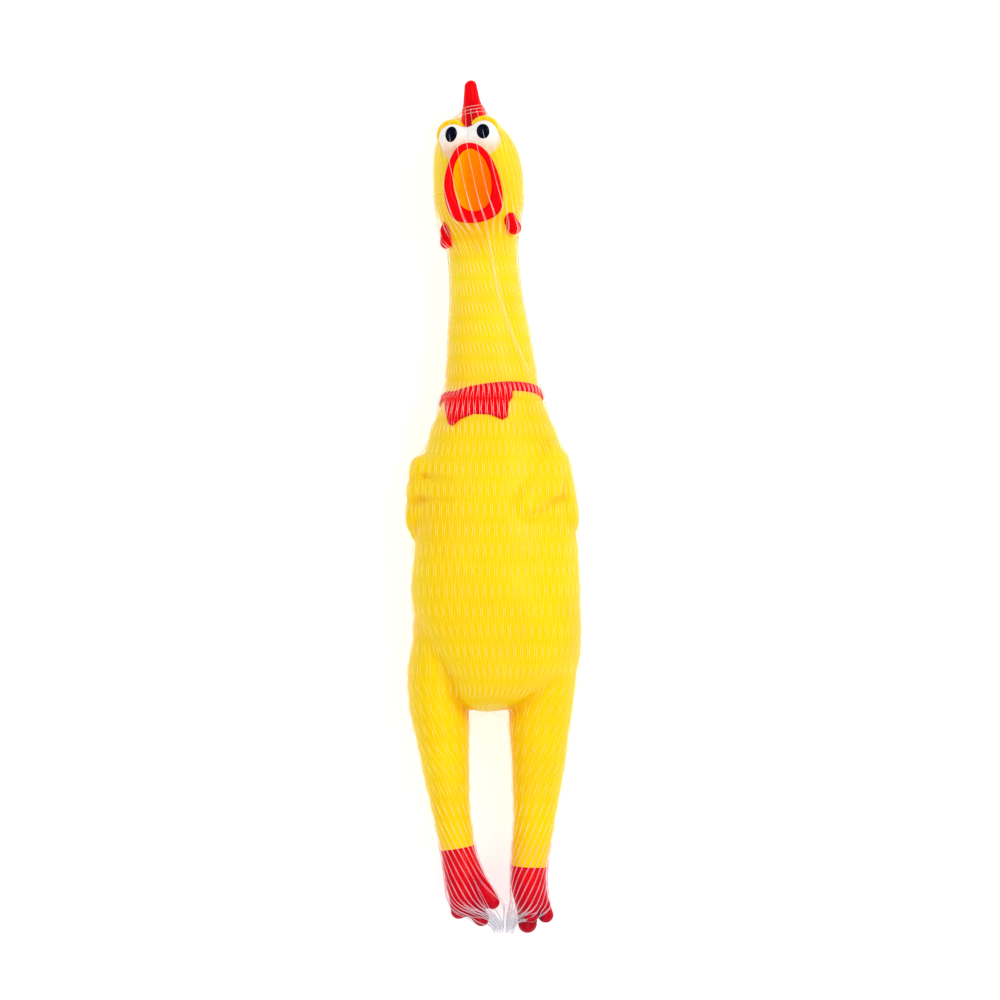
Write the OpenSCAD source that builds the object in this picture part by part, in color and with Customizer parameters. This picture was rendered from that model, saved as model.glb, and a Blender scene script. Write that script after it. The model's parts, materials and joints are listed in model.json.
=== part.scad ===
// Squeaking rubber chicken, lying on its back.
// +Z points up out of the belly, +Y towards the comb, +X to the viewer's right.
// The origin is at the middle of the footprint, on the surface that it lies on.
// One soft hollow moulding, divided at the places where it bends, with a squeaker in its throat.

/* [Skin] */
// Thickness of the vinyl skin
wall = 1.8; // [1.4:0.1:2.2]
// Gap left between two pieces of skin that move apart
skin_gap = 0.2; // [0.1:0.05:0.4]
// Sides of the lofted tubes
sides = 28; // [20:4:40]

/* [Belly] */
// Height at which the front of the belly begins to give
belly_rim_z = 38; // [36:0.5:40]
// Height of the giving rim, below the part that is pressed
belly_rim_h = 3; // [2.5:0.5:4]

/* [Neck] */
// Where the sideways bend starts, up the body
neck_side_y = 47; // [46:0.5:48]
// Length of the sideways bend
neck_side_flex = 14; // [12:1:14]
// Where the forward bend starts
neck_front_y = 65; // [64:0.5:66]
// Length of the forward bend
neck_front_flex = 16; // [14:1:16]
// Where the twisting stretch under the head starts
head_turn_y = 87; // [86:0.5:88]
// Length of that stretch
head_turn_flex = 8; // [6:1:8]

/* [Legs] */
// Length of the spreading stretch at the hip
hip_flex = 13; // [12:0.5:13]
// Length of the thigh's firm stretch
thigh_length = 4; // [3:0.5:4]
// Length of the swinging stretch of the leg
knee_flex = 15; // [13:0.5:15]
// Length of the ankle's bending stretch
ankle_flex = 10; // [8:0.5:10]

/* [Squeaker] */
// Outer diameter of the squeaker's tube
squeaker_od = 14; // [13:0.5:15]
// Bore of the tube
squeaker_id = 11.6; // [11:0.1:11.8]
// Length of the tube
squeaker_length = 20; // [18:1:21]
// Diameter of the air holes
air_hole_d = 1.8; // [1.5:0.1:2.2]
// Thickness of the reed strip
reed_t = 0.3; // [0.2:0.05:0.4]
// Play around the reed, on each side
reed_play = 0.35; // [0.3:0.05:0.5]

/* [Wings] */
// How far the left wing stands off the body
left_wing_rise = 4.2; // [3:0.2:5]
// How far the right wing stands off the body
right_wing_rise = 2.6; // [2:0.2:4]

/* [Hidden] */
yellow = "gold";
red = "crimson";
far = 400;
shift = [1.18, -0.27, 0];
inner_sides = 20;

// Lofts: [y, centre x, half width, back z, front z], from the feet end to the comb end.
trunk = [
    [-73.5, -2.5, 0, 17, 17], [-72, -2.5, 9, 9, 26], [-68, -2, 16.5, 4, 34], [-60, -1.5, 24, 1, 40],
    [-48, -0.5, 29, -0.5, 43.5], [-33, 0, 30.4, -0.8, 45], [-15, 0, 29.5, -0.8, 44.5],
    [0, -0.3, 28.2, -0.8, 43], [14, -0.8, 26.2, -0.4, 41.2], [25, -1, 23.6, 1, 38.6],
    [36, -1.2, 19.4, 2.6, 35.6], [44, -1.5, 17, 3.6, 33.2], [54, -1.9, 15.8, 4, 31.4],
    [65, -2.7, 14.4, 4, 30], [77, -3.6, 13, 4, 29], [88, -4.4, 12.2, 4, 28.6], [96, -5.1, 12.4, 3.4, 29.4],
    [105, -5.8, 14.2, 1.6, 32], [114, -6.2, 15.9, 0.3, 34.4], [122, -6.5, 16, 0, 34.6],
    [130, -7.2, 14.8, 1.2, 33], [136.5, -8.1, 12, 4.4, 29.6], [141, -8.9, 7.4, 9, 24.6], [143, -9.2, 0, 16.5, 16.5]];
left_leg = [
    [-148, -11, 0, 12, 12], [-142, -11.5, 4.6, 7.5, 18], [-136, -12, 6.2, 5.6, 20], [-130, -12.8, 6.3, 5.4, 19.6],
    [-123, -14.1, 6.1, 5.6, 18.6], [-114, -15.7, 6.6, 5, 19.6], [-105, -17, 7.2, 4, 20.6],
    [-94, -18.3, 8.5, 3, 23], [-83, -19.6, 9.6, 2.2, 25.4], [-72, -20.7, 10.8, 1.6, 27.4],
    [-60, -21.1, 10.9, 1.4, 29], [-48, -20, 9.6, 2, 29], [-38, -18, 6, 6, 26], [-34, -17, 0, 16, 16]];
right_leg = [
    [-149, 11.8, 0, 12, 12], [-143, 11.8, 4.8, 7.5, 18.4], [-137, 11.8, 6.2, 5.6, 20], [-130, 12.1, 6.4, 5.4, 19.6],
    [-123, 12.8, 6.8, 5.4, 19], [-114, 13.8, 7.4, 5, 20], [-105, 14.6, 8.2, 4, 21.4],
    [-94, 15.4, 9.5, 3, 23.6], [-83, 15.6, 10.5, 2.2, 25.8], [-72, 16.3, 11.6, 1.6, 27.6],
    [-60, 18, 11.1, 1.4, 29], [-48, 18.6, 10, 2, 29], [-38, 17, 6, 6, 26], [-34, 16, 0, 16, 16]];

// Head: the features are laid out in the head's own axes, then turned and tilted with it.
head_at = [-6.4, 119, 17.5];
head_tilt = 6.5;
head_yaw = -8;
mouth_at = [0, 0, 19];
mouth_half = [7.4, 10.6];
lip_r = 1.9;
lip_seat = 17.7;
pocket_at = [0, -1, 9];
pocket_half = [6.2, 10.6, 6.4];
throat_from = [0, -9, 6.5];
lining_t = 0.8;
sleeve_t = 1.5;
eye_at = [5.9, 17.2, 12.6];
eye_half = [5.4, 4.8, 3.6];
pupil_half = [2.2, 2.75, 1];
comb_x = 1.4;
comb_lobes = [[6, 14], [-1.5, 12.5], [-9, 9.5]];
comb_top = 36.3;
comb_base_r = 3.9;
comb_tip_r = 1.7;
wattle_at = [11.7, -17.8, 6];
wattle_half = [3.1, 6.3, 4.6];

// Bends: each plane passes through a point of the leg's or neck's line, square to its direction.
hip_dir = [0.45, -0.893, 0];
crotch = [[-9.8, -73.5, 0], [4.8, -73.5, 0]];
leg_dir = [[0.13, -0.99, 0], [-0.06, -1, 0]];
leg_start = [[-19.4, -83, 0], [15.8, -83, 0]];
neck_axis_at = [-4.8, 92, 16.2];
neck_tilt = 4.4;
throat_back = 8;
sleeve_length = 7;
collar_h = 2;
floor_t = 1.6;
block_length = 13.6;
pin_at = floor_t + block_length - 2;
pin_d = 1.6;

// Neck band: its middle plane leans forward and to the right.
band_at = [-7, 43.2, 33];
band_lean = [-16, 0, 7];
band_w = 3.4;
bow_outline = [[-18.5, 31.5], [-16.4, 30.4], [-13.6, 33], [-0.6, 33.4], [1.4, 32.2], [3, 34], [3, 45], [-18.5, 43]];
relief = 1.1;

// Wing lobes: [root, tip, radius]
left_lobes = [
    [[-19, 16, 34], [-30, 14.5, 22], 4.6], [[-19.5, 9, 35], [-31, 6.5, 22], 4.4],
    [[-20, 1.5, 36], [-30.5, -2.5, 22], 4.6], [[-24, 14, 22], [-29, 0, 18], 6]];
right_lobes = [
    [[19, 16, 34], [12.5, 2, 41], 5.2], [[22, 16, 31], [21, 7.5, 35], 5.2],
    [[25, 14, 27], [27.5, -1, 25], 5.4]];

function sqr(v) = v * v;
function slope(t, i, c) =
    let (lo = max(i - 1, 0), hi = min(i + 1, len(t) - 1)) (t[hi][c] - t[lo][c]) / (t[hi][0] - t[lo][0]);
function span(t, y, i = 0) = i >= len(t) - 2 || y < t[i + 1][0] ? i : span(t, y, i + 1);
// Smooth cubic through column c of a table whose first column is y.
function smooth(t, y, c) =
    let (i = span(t, y), h = t[i + 1][0] - t[i][0], s = (y - t[i][0]) / h)
    (1 + 2 * s) * sqr(1 - s) * t[i][c] + s * sqr(1 - s) * h * slope(t, i, c)
    + sqr(s) * (3 - 2 * s) * t[i + 1][c] + sqr(s) * (s - 1) * h * slope(t, i + 1, c);
// A loft as [y, centre x, centre z, half width times half depth, log of half depth over half width].
function prepared(t) = [for (s = t)
    let (a = max(s[2], 0.01), b = max((s[4] - s[3]) / 2, 0.01),
        near = s[2] > 0 ? s : (s[0] == t[0][0] ? t[1] : t[len(t) - 2]))
    [s[0], s[1], (s[3] + s[4]) / 2, a * b, s[2] > 0 ? ln(b / a) : ln((near[4] - near[3]) / 2 / near[2])]];
function ring(p, y, inset, n) =
    let (area = max(smooth(p, y, 3), 0.02), k = exp(smooth(p, y, 4)),
        a = max(sqrt(area / k) - inset, 0.1), b = max(sqrt(area * k) - inset, 0.1),
        cx = smooth(p, y, 1), cz = smooth(p, y, 2))
    [for (j = [0:n - 1]) [cx + a * cos(360 * j / n), y, cz + b * sin(360 * j / n)]];
function stations(t, inset, step) =
    let (lo = t[0][0] + inset, hi = t[len(t) - 1][0] - inset, n = ceil((hi - lo - 8) / step))
    [lo + 0.1, lo + 1.2, for (k = [0:n]) lo + 4 + (hi - lo - 8) * k / n, hi - 1.2, hi - 0.1];

// Closed solid of a stack of rings that all have the same number of points.
module skinned(rings) {
    n = len(rings[0]);
    m = len(rings);
    polyhedron(
        points = [for (r = rings) for (p = r) p],
        faces = [
            for (i = [0:m - 2]) for (j = [0:n - 1])
                [i * n + j, i * n + (j + 1) % n, (i + 1) * n + (j + 1) % n, (i + 1) * n + j],
            [for (j = [n - 1:-1:0]) j],
            [for (j = [0:n - 1]) (m - 1) * n + j]]);
}

// An inner face is a little coarser than an outer one.
module loft(t, inset = 0) {
    p = prepared(t);
    inner = inset >= wall;
    skinned([for (y = stations(t, inset, inner ? 9 : 6)) ring(p, y, inset, inner ? inner_sides : sides)]);
}

// Keeps a soft moulding as one mesh, with its cuts made on the mesh.
module moulded() {
    translate(shift) resize([0, 0, 0]) children();
}

module in_head() {
    translate(head_at) rotate([0, 0, head_tilt]) rotate([0, head_yaw, 0]) children();
}

module ellipsoid(half, fn = 18) {
    scale(half) sphere(r = 1, $fn = fn);
}

// Everything beyond a plane, on the side that the direction points to.
module beyond(at, dir) {
    translate(at) rotate([0, 0, atan2(dir[1], dir[0])]) translate([0, -far / 2, -far / 2]) cube([far, far, far]);
}

module between_planes(at, dir, from, to) {
    intersection() {
        beyond(at + from * dir, dir);
        beyond(at + to * dir, -dir);
    }
}

// side 0 is the left leg, in the viewer's sense, and side 1 the right.
function leg(side) = side == 0 ? left_leg : right_leg;
function hip_way(side) = [side == 0 ? -hip_dir[0] : hip_dir[0], hip_dir[1], 0];

// The snout widens from the head to the ring of the lips.
module muzzle(inset = 0) {
    in_head() hull() {
        translate([0, 0, 6]) ellipsoid([12.4 - inset, 16 - inset, 10 - inset], 24);
        translate([0, 0, lip_seat - 1.5 - inset]) linear_extrude(1.5)
            scale([mouth_half[0] + lip_r - inset, mouth_half[1] + lip_r - inset]) circle(r = 1, $fn = 24);
    }
}

module whole(inset = 0) {
    loft(trunk, inset);
    muzzle(inset);
}

module leg_tube(side, inset = 0) {
    loft(leg(side), inset);
}

module above_floor() {
    translate([-far / 2, -far / 2, 0]) cube(far);
}

// The mouth's hollow, with the throat that leads down from it to the squeaker.
module mouth_pocket(grow = 0) {
    in_head() hull() {
        translate(pocket_at) ellipsoid(pocket_half + [grow, grow, grow], 20);
        translate(mouth_at + [0, 0, -1]) linear_extrude(4)
            scale([mouth_half[0] + grow, mouth_half[1] + grow]) circle(r = 1, $fn = 20);
    }
    hull() {
        in_head() translate(throat_from) sphere(r = 4 + grow, $fn = 16);
        translate(-shift) on_throat() translate([0, 0, squeaker_length + 0.1]) cylinder(r = 5.6 + grow, h = 0.4, $fn = 20);
    }
}

// --- Torso ---
module belly_slab(from, to) {
    translate([-far / 2, -70, from]) cube([far, 100, to - from]);
}

module torso_cut() {
    intersection() {
        above_floor();
        beyond([0, neck_side_y - skin_gap / 2, 0], [0, -1, 0]);
        beyond(crotch[0] - skin_gap / 2 * hip_way(0), -hip_way(0));
        beyond(crotch[1] - skin_gap / 2 * hip_way(1), -hip_way(1));
    }
}

module torso_skin() {
    color(yellow) moulded() difference() {
        intersection() {
            union() {
                whole();
                leg_tube(0);
                leg_tube(1);
            }
            torso_cut();
        }
        translate([0, 0, 0.5]) loft(trunk, wall);
        leg_tube(0, wall);
        leg_tube(1, wall);
        belly_slab(belly_rim_z - skin_gap / 2, far);
    }
}

module belly_ring(from, to) {
    color(yellow) moulded() intersection() {
        difference() {
            loft(trunk);
            translate([0, 0, 0.2]) loft(trunk, wall);
        }
        belly_slab(from, to);
    }
}

module belly_flex() {
    belly_ring(belly_rim_z + skin_gap / 2, belly_rim_z + belly_rim_h - skin_gap / 2);
}

module belly_skin() {
    belly_ring(belly_rim_z + belly_rim_h + skin_gap / 2, far);
}

module wing(lobes, rise) {
    color(yellow) moulded() difference() {
        intersection() {
            for (l = lobes)
                hull() {
                    translate(l[0]) sphere(r = l[2], $fn = 14);
                    translate(l[1]) sphere(r = l[2] * 0.9, $fn = 14);
                }
            loft(trunk, -rise);
        }
        loft(trunk, -0.1);
    }
}

module left_wing() { wing(left_lobes, left_wing_rise); }
module right_wing() { wing(right_lobes, right_wing_rise); }

module on_chest(rise) {
    intersection() {
        difference() {
            loft(trunk, -rise);
            loft(trunk, -0.1);
        }
        children();
    }
}

module band_slab(clear = 0) {
    translate(band_at) rotate(band_lean) cube([far, band_w + clear, far], center = true);
}

module bow_prism(clear = 0) {
    translate([0, 0, 18]) linear_extrude(far) offset(delta = clear) polygon(bow_outline);
}

module neck_band() {
    color(red) moulded() difference() {
        on_chest(relief) band_slab();
        bow_prism(0.05);
    }
}

module bow() {
    color(red) moulded() on_chest(relief + 0.5) bow_prism();
}

// --- Neck ---
module neck_ring(from, to) {
    moulded() intersection() {
        difference() {
            loft(trunk);
            loft(trunk, wall);
        }
        translate([-far / 2, from + skin_gap / 2, -1]) cube([far, to - from - skin_gap, far]);
    }
}

module neck_root_flex() { color(yellow) neck_ring(neck_side_y, neck_side_y + neck_side_flex); }
module lower_neck_skin() { color(yellow) neck_ring(neck_side_y + neck_side_flex, neck_front_y); }
module neck_middle_flex() { color(yellow) neck_ring(neck_front_y, neck_front_y + neck_front_flex); }
module upper_neck_skin() { color(yellow) neck_ring(neck_front_y + neck_front_flex, head_turn_y); }
module neck_top_flex() { color(yellow) neck_ring(head_turn_y, head_turn_y + head_turn_flex); }

// --- Head ---
module brow(s) {
    in_head() translate([s * eye_at[0], eye_at[1] + 0.2, eye_at[2] - 1.6]) rotate([0, 0, 12])
        rotate_extrude(angle = 156, $fn = 20) translate([5.5, 0]) scale([1, 1.8]) circle(r = 1.7, $fn = 8);
}

module head_skin() {
    color(yellow) moulded() intersection() {
        difference() {
            union() {
                whole();
                brow(-1);
                brow(1);
            }
            difference() {
                whole(wall);
                mouth_pocket(wall + lining_t);
            }
            mouth_pocket(lining_t);
            in_head() for (s = [-1, 1])
                translate([s * eye_at[0], eye_at[1], eye_at[2]]) ellipsoid(eye_half + [0.1, 0.1, 0.1]);
            throat_bore(squeaker_od / 2 + sleeve_t + 0.1);
        }
        translate([-far / 2, head_turn_y + head_turn_flex + skin_gap / 2, 0]) cube(far);
    }
}

module mouth_lining() {
    color("darkorange") moulded() difference() {
        mouth_pocket(lining_t - 0.05);
        mouth_pocket(0);
        in_head() translate([-far / 2, -far / 2, lip_seat]) cube(far);
        throat_bore(squeaker_od / 2 + sleeve_t + 0.1);
    }
}

module lips() {
    color(red) moulded() in_head() translate(mouth_at)
        scale([(mouth_half[0] + lip_r) / 10, (mouth_half[1] + lip_r) / 10, 1])
            rotate_extrude($fn = 30) translate([10, 0.4]) scale([1.25, 1]) circle(r = lip_r - 0.3, $fn = 10);
}

module comb() {
    color(red) moulded() difference() {
        in_head() {
            for (lobe = comb_lobes)
                hull() {
                    translate([comb_x, 19, lobe[0] * 0.9]) sphere(r = comb_base_r, $fn = 14);
                    translate([comb_x, comb_top - comb_tip_r - (comb_lobes[0][1] - lobe[1]), lobe[0]])
                        sphere(r = comb_tip_r, $fn = 14);
                }
            hull() for (lobe = comb_lobes)
                translate([comb_x, 24, lobe[0] * 0.9]) sphere(r = 3, $fn = 14);
        }
        whole();
        whole(-0.1);
        brow(-1);
        brow(1);
    }
}

module wattle(s) {
    color(red) moulded() difference() {
        in_head() translate([s * wattle_at[0], wattle_at[1], wattle_at[2]]) rotate([0, 0, s * 12])
            ellipsoid(wattle_half, 16);
        loft(trunk, -0.1);
    }
}

module left_wattle() { wattle(-1); }
module right_wattle() { wattle(1); }

module eye(s) {
    color("white") moulded() difference() {
        in_head() translate([s * eye_at[0], eye_at[1], eye_at[2]]) ellipsoid(eye_half);
        in_head() translate([s < 0 ? 0 : -far, 0, 0]) cube(far);
        loft(trunk, 3);
        pupil_body(s, 0.02);
    }
}

module pupil_body(s, grow = 0) {
    in_head() translate([s * eye_at[0], eye_at[1] + 0.5, eye_at[2] + eye_half[2] - 0.5])
        ellipsoid(pupil_half + [grow, grow, grow], 14);
}

module left_eye() { eye(-1); }
module right_eye() { eye(1); }
module left_pupil() { color("black") moulded() pupil_body(-1); }
module right_pupil() { color("black") moulded() pupil_body(1); }

// --- Squeaker: a tube on the neck's own line, gripped by the throat sleeve ---
// Its axis runs from the foot end, at 0, up to the mouth.
module on_throat() {
    translate(shift + neck_axis_at) rotate([0, 0, neck_tilt]) rotate([-90, 0, 0]) translate([0, 0, -throat_back]) children();
}

module throat_bore(r) {
    translate(-shift) on_throat() cylinder(r = r, h = squeaker_length + 0.05, $fn = 40);
}

module throat_sleeve() {
    color("orange") on_throat() difference() {
        translate([0, 0, squeaker_length - sleeve_length])
            cylinder(d = squeaker_od + 2 * sleeve_t, h = sleeve_length, $fn = 60);
        translate([0, 0, squeaker_length - sleeve_length - 1]) cylinder(d = squeaker_od, h = sleeve_length + 2, $fn = 60);
    }
}

module squeaker_tube() {
    color("white") on_throat() difference() {
        union() {
            cylinder(d = squeaker_od, h = squeaker_length, $fn = 60);
            translate([0, 0, squeaker_length - sleeve_length - collar_h - 0.2])
                cylinder(d = squeaker_od + 2, h = collar_h, $fn = 60);
        }
        translate([0, 0, floor_t]) cylinder(d = squeaker_id, h = squeaker_length, $fn = 60);
        translate([0, 0, -1]) cylinder(d = 5, h = floor_t + 2, $fn = 30);
    }
}

module squeaker_cap() {
    color("white") on_throat() difference() {
        translate([0, 0, squeaker_length - 2.2]) cylinder(d = squeaker_id, h = 1.6, $fn = 60);
        translate([0, 0, squeaker_length - 4]) {
            cylinder(d = air_hole_d, h = 5, $fn = 24);
            for (k = [0:5])
                rotate([0, 0, 60 * k]) translate([3.4, 0, 0]) cylinder(d = air_hole_d, h = 5, $fn = 24);
        }
    }
}

// Half of a round block, with a trough under the reed that the air comes up through.
module reed_block() {
    color("lightgrey") on_throat() difference() {
        intersection() {
            translate([0, 0, floor_t]) cylinder(d = squeaker_id, h = block_length, $fn = 60);
            translate([-10, -10 - 2 * reed_play, floor_t]) cube([20, 10, block_length]);
        }
        translate([-2, -3.2, floor_t + 2]) cube([4, 4, block_length - 6]);
        translate([0, -2.6, floor_t - 1]) cylinder(d = 3, h = 4, $fn = 24);
        translate([0, -4, pin_at]) rotate([-90, 0, 0]) cylinder(d = pin_d, h = 5, $fn = 24);
    }
}

module reed_pin() {
    color("lightgrey") on_throat() union() {
        translate([0, -4, pin_at]) rotate([-90, 0, 0]) cylinder(d = pin_d, h = 4 + reed_t + reed_play, $fn = 24);
        translate([0, -2 * reed_play, pin_at]) rotate([-90, 0, 0]) cylinder(d = 3.2, h = reed_play, $fn = 24);
        translate([0, reed_t + reed_play, pin_at]) rotate([-90, 0, 0]) cylinder(d = 3.2, h = 0.9, $fn = 24);
    }
}

module reed() {
    color("lightblue") on_throat() difference() {
        translate([-2.6, 0, floor_t + 1.4]) cube([5.2, reed_t, block_length - 1.8]);
        translate([0, -1, pin_at]) rotate([-90, 0, 0]) cylinder(d = pin_d + 2 * reed_play, h = 3, $fn = 24);
    }
}

// --- Legs ---
module leg_piece(side, at, dir, from, to) {
    moulded() intersection() {
        difference() {
            leg_tube(side);
            leg_tube(side, wall);
        }
        between_planes(at, dir, from + skin_gap / 2, to - skin_gap / 2);
    }
}

knee_from = thigh_length;
knee_to = knee_from + knee_flex;
ankle_from = 31;
ankle_to = ankle_from + ankle_flex;

// The hip's ring runs from the slanted cut at the torso to the square end of the thigh.
module hip_flex_ring(side) {
    color(yellow) moulded() intersection() {
        difference() {
            leg_tube(side);
            leg_tube(side, wall);
        }
        beyond(crotch[side] + skin_gap / 2 * hip_way(side), hip_way(side));
        beyond(leg_start[side] - skin_gap / 2 * leg_dir[side] - 0.01 * leg_dir[side], -leg_dir[side]);
    }
}

module toe(from, to, r) {
    hull() {
        translate(from) sphere(r = r, $fn = 12);
        translate(to) sphere(r = r * 0.86, $fn = 12);
    }
}

left_toes = [
    [[-11, -137, 14.5], [-1, -143, 14.5], 3.1], [[-11.5, -141, 12.5], [-5.2, -148.3, 11], 3.4],
    [[-13.5, -139, 14], [-13.4, -146, 12.8], 3], [[-12, -136, 8], [-14, -143.4, 3.2], 2.8]];
right_toes = [
    [[11.5, -139, 11.5], [11.5, -151.4, 9.5], 3.8], [[12.5, -139, 16], [12.6, -148.3, 17], 3.3],
    [[14, -139, 14], [17.6, -147.2, 13.5], 3.2], [[12, -138, 8], [10.4, -145, 3.2], 2.8]];

module foot(side) {
    color(red) moulded() intersection() {
        union() {
            leg_tube(side);
            for (t = side == 0 ? left_toes : right_toes)
                toe(t[0], t[1], t[2]);
        }
        beyond(leg_start[side] + (ankle_to + skin_gap / 2) * leg_dir[side], leg_dir[side]);
    }
}

module left_hip_flex() { hip_flex_ring(0); }
module left_thigh_skin() { color(yellow) leg_piece(0, leg_start[0], leg_dir[0], 0, knee_from); }
module left_knee_flex() { color(yellow) leg_piece(0, leg_start[0], leg_dir[0], knee_from, knee_to); }
module left_shank_skin() { color(yellow) leg_piece(0, leg_start[0], leg_dir[0], knee_to, ankle_from); }
module left_ankle_flex() { color(yellow) leg_piece(0, leg_start[0], leg_dir[0], ankle_from, ankle_to); }
module left_foot() { foot(0); }

module right_hip_flex() { hip_flex_ring(1); }
module right_thigh_skin() { color(yellow) leg_piece(1, leg_start[1], leg_dir[1], 0, knee_from); }
module right_knee_flex() { color(yellow) leg_piece(1, leg_start[1], leg_dir[1], knee_from, knee_to); }
module right_shank_skin() { color(yellow) leg_piece(1, leg_start[1], leg_dir[1], knee_to, ankle_from); }
module right_ankle_flex() { color(yellow) leg_piece(1, leg_start[1], leg_dir[1], ankle_from, ankle_to); }
module right_foot() { foot(1); }

torso_skin();
left_wing();
right_wing();
neck_band();
bow();
belly_flex();
belly_skin();
neck_root_flex();
lower_neck_skin();
neck_middle_flex();
upper_neck_skin();
neck_top_flex();
head_skin();
comb();
left_wattle();
right_wattle();
lips();
mouth_lining();
throat_sleeve();
left_eye();
right_eye();
left_pupil();
right_pupil();
squeaker_tube();
squeaker_cap();
reed_block();
reed_pin();
reed();
left_hip_flex();
left_thigh_skin();
left_knee_flex();
left_shank_skin();
left_ankle_flex();
left_foot();
right_hip_flex();
right_thigh_skin();
right_knee_flex();
right_shank_skin();
right_ankle_flex();
right_foot();
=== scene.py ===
"""Squeaking rubber chicken, lying on its back in a clear net sleeve.

Shapes are worked out in millimetres, as distance fields that are negative inside, and
turned into meshes in metres. +Y runs from the feet to the comb, +Z up out of the belly,
and +X to the viewer's right. Fields take points as x, y and z arrays.
"""
import json
import math

import bpy
import numpy as np
from mathutils import Vector
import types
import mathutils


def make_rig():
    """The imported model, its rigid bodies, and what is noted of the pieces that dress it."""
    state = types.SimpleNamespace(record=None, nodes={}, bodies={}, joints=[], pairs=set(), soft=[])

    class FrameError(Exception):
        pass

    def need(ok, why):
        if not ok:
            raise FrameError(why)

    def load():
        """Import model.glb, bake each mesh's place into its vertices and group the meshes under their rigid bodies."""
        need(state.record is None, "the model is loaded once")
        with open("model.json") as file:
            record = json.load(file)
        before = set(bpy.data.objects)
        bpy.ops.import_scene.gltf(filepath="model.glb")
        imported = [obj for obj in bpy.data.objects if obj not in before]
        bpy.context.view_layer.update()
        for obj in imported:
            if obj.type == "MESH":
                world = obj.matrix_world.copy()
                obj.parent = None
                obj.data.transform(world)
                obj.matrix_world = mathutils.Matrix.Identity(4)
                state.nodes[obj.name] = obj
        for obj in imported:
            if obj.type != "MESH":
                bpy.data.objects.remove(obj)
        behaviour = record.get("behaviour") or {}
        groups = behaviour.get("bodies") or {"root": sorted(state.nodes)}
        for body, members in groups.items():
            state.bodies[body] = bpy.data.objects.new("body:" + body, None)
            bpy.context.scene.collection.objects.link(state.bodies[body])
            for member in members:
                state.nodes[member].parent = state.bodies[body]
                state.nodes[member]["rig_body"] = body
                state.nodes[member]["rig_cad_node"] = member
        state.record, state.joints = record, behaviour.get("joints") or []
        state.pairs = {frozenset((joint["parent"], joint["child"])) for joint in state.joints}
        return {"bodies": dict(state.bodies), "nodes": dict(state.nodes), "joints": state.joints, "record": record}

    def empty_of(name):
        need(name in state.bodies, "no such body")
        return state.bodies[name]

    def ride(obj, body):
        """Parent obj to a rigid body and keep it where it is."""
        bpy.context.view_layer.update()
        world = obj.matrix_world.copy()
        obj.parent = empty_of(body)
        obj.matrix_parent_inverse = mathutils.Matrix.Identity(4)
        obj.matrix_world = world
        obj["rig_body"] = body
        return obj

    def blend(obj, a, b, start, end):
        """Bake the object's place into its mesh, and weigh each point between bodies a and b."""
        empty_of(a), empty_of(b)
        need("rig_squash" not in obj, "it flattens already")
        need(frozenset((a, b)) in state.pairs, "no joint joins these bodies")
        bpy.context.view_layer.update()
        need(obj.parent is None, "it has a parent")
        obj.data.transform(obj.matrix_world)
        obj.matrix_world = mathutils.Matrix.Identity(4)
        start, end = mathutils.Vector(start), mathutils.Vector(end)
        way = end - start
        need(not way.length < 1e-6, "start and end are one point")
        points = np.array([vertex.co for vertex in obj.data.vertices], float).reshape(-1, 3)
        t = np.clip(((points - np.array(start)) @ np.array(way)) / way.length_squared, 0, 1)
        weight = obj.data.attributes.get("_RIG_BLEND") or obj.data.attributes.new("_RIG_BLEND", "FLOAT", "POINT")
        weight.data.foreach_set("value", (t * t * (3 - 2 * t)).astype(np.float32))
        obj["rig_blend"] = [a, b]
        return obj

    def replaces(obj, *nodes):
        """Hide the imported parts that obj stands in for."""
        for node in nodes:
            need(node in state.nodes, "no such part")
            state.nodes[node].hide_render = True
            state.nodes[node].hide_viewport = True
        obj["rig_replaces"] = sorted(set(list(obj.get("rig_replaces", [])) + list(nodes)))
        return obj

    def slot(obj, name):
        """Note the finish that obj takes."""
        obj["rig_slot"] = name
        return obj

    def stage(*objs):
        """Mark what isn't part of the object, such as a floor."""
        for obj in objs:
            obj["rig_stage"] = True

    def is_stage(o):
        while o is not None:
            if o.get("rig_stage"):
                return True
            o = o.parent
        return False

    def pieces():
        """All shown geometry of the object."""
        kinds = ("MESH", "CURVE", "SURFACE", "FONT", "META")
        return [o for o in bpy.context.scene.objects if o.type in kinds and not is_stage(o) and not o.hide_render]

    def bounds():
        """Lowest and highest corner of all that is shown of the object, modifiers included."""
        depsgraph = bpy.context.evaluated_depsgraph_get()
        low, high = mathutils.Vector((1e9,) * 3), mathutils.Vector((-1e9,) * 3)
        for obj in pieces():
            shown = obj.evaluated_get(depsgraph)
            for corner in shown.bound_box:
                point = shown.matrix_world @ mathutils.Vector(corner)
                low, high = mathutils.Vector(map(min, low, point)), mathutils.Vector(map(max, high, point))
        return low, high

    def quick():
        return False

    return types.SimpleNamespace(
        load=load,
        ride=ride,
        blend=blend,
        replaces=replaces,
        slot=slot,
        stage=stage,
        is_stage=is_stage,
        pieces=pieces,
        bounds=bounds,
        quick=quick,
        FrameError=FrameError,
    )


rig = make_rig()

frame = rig.load()
cad_box = [list(corner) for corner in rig.bounds()]

MM = 0.001
# The modelling origin: on the floor, this far from the middle of the part's box.
FROM_MIDDLE = np.array([1.18, -0.27, 0.0])
BOX_MIDDLE = [(cad_box[0][i] + cad_box[1][i]) / 2 / MM for i in range(2)] + [0.0]
SHIFT = FROM_MIDDLE + np.round(BOX_MIDDLE, 1)

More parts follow.
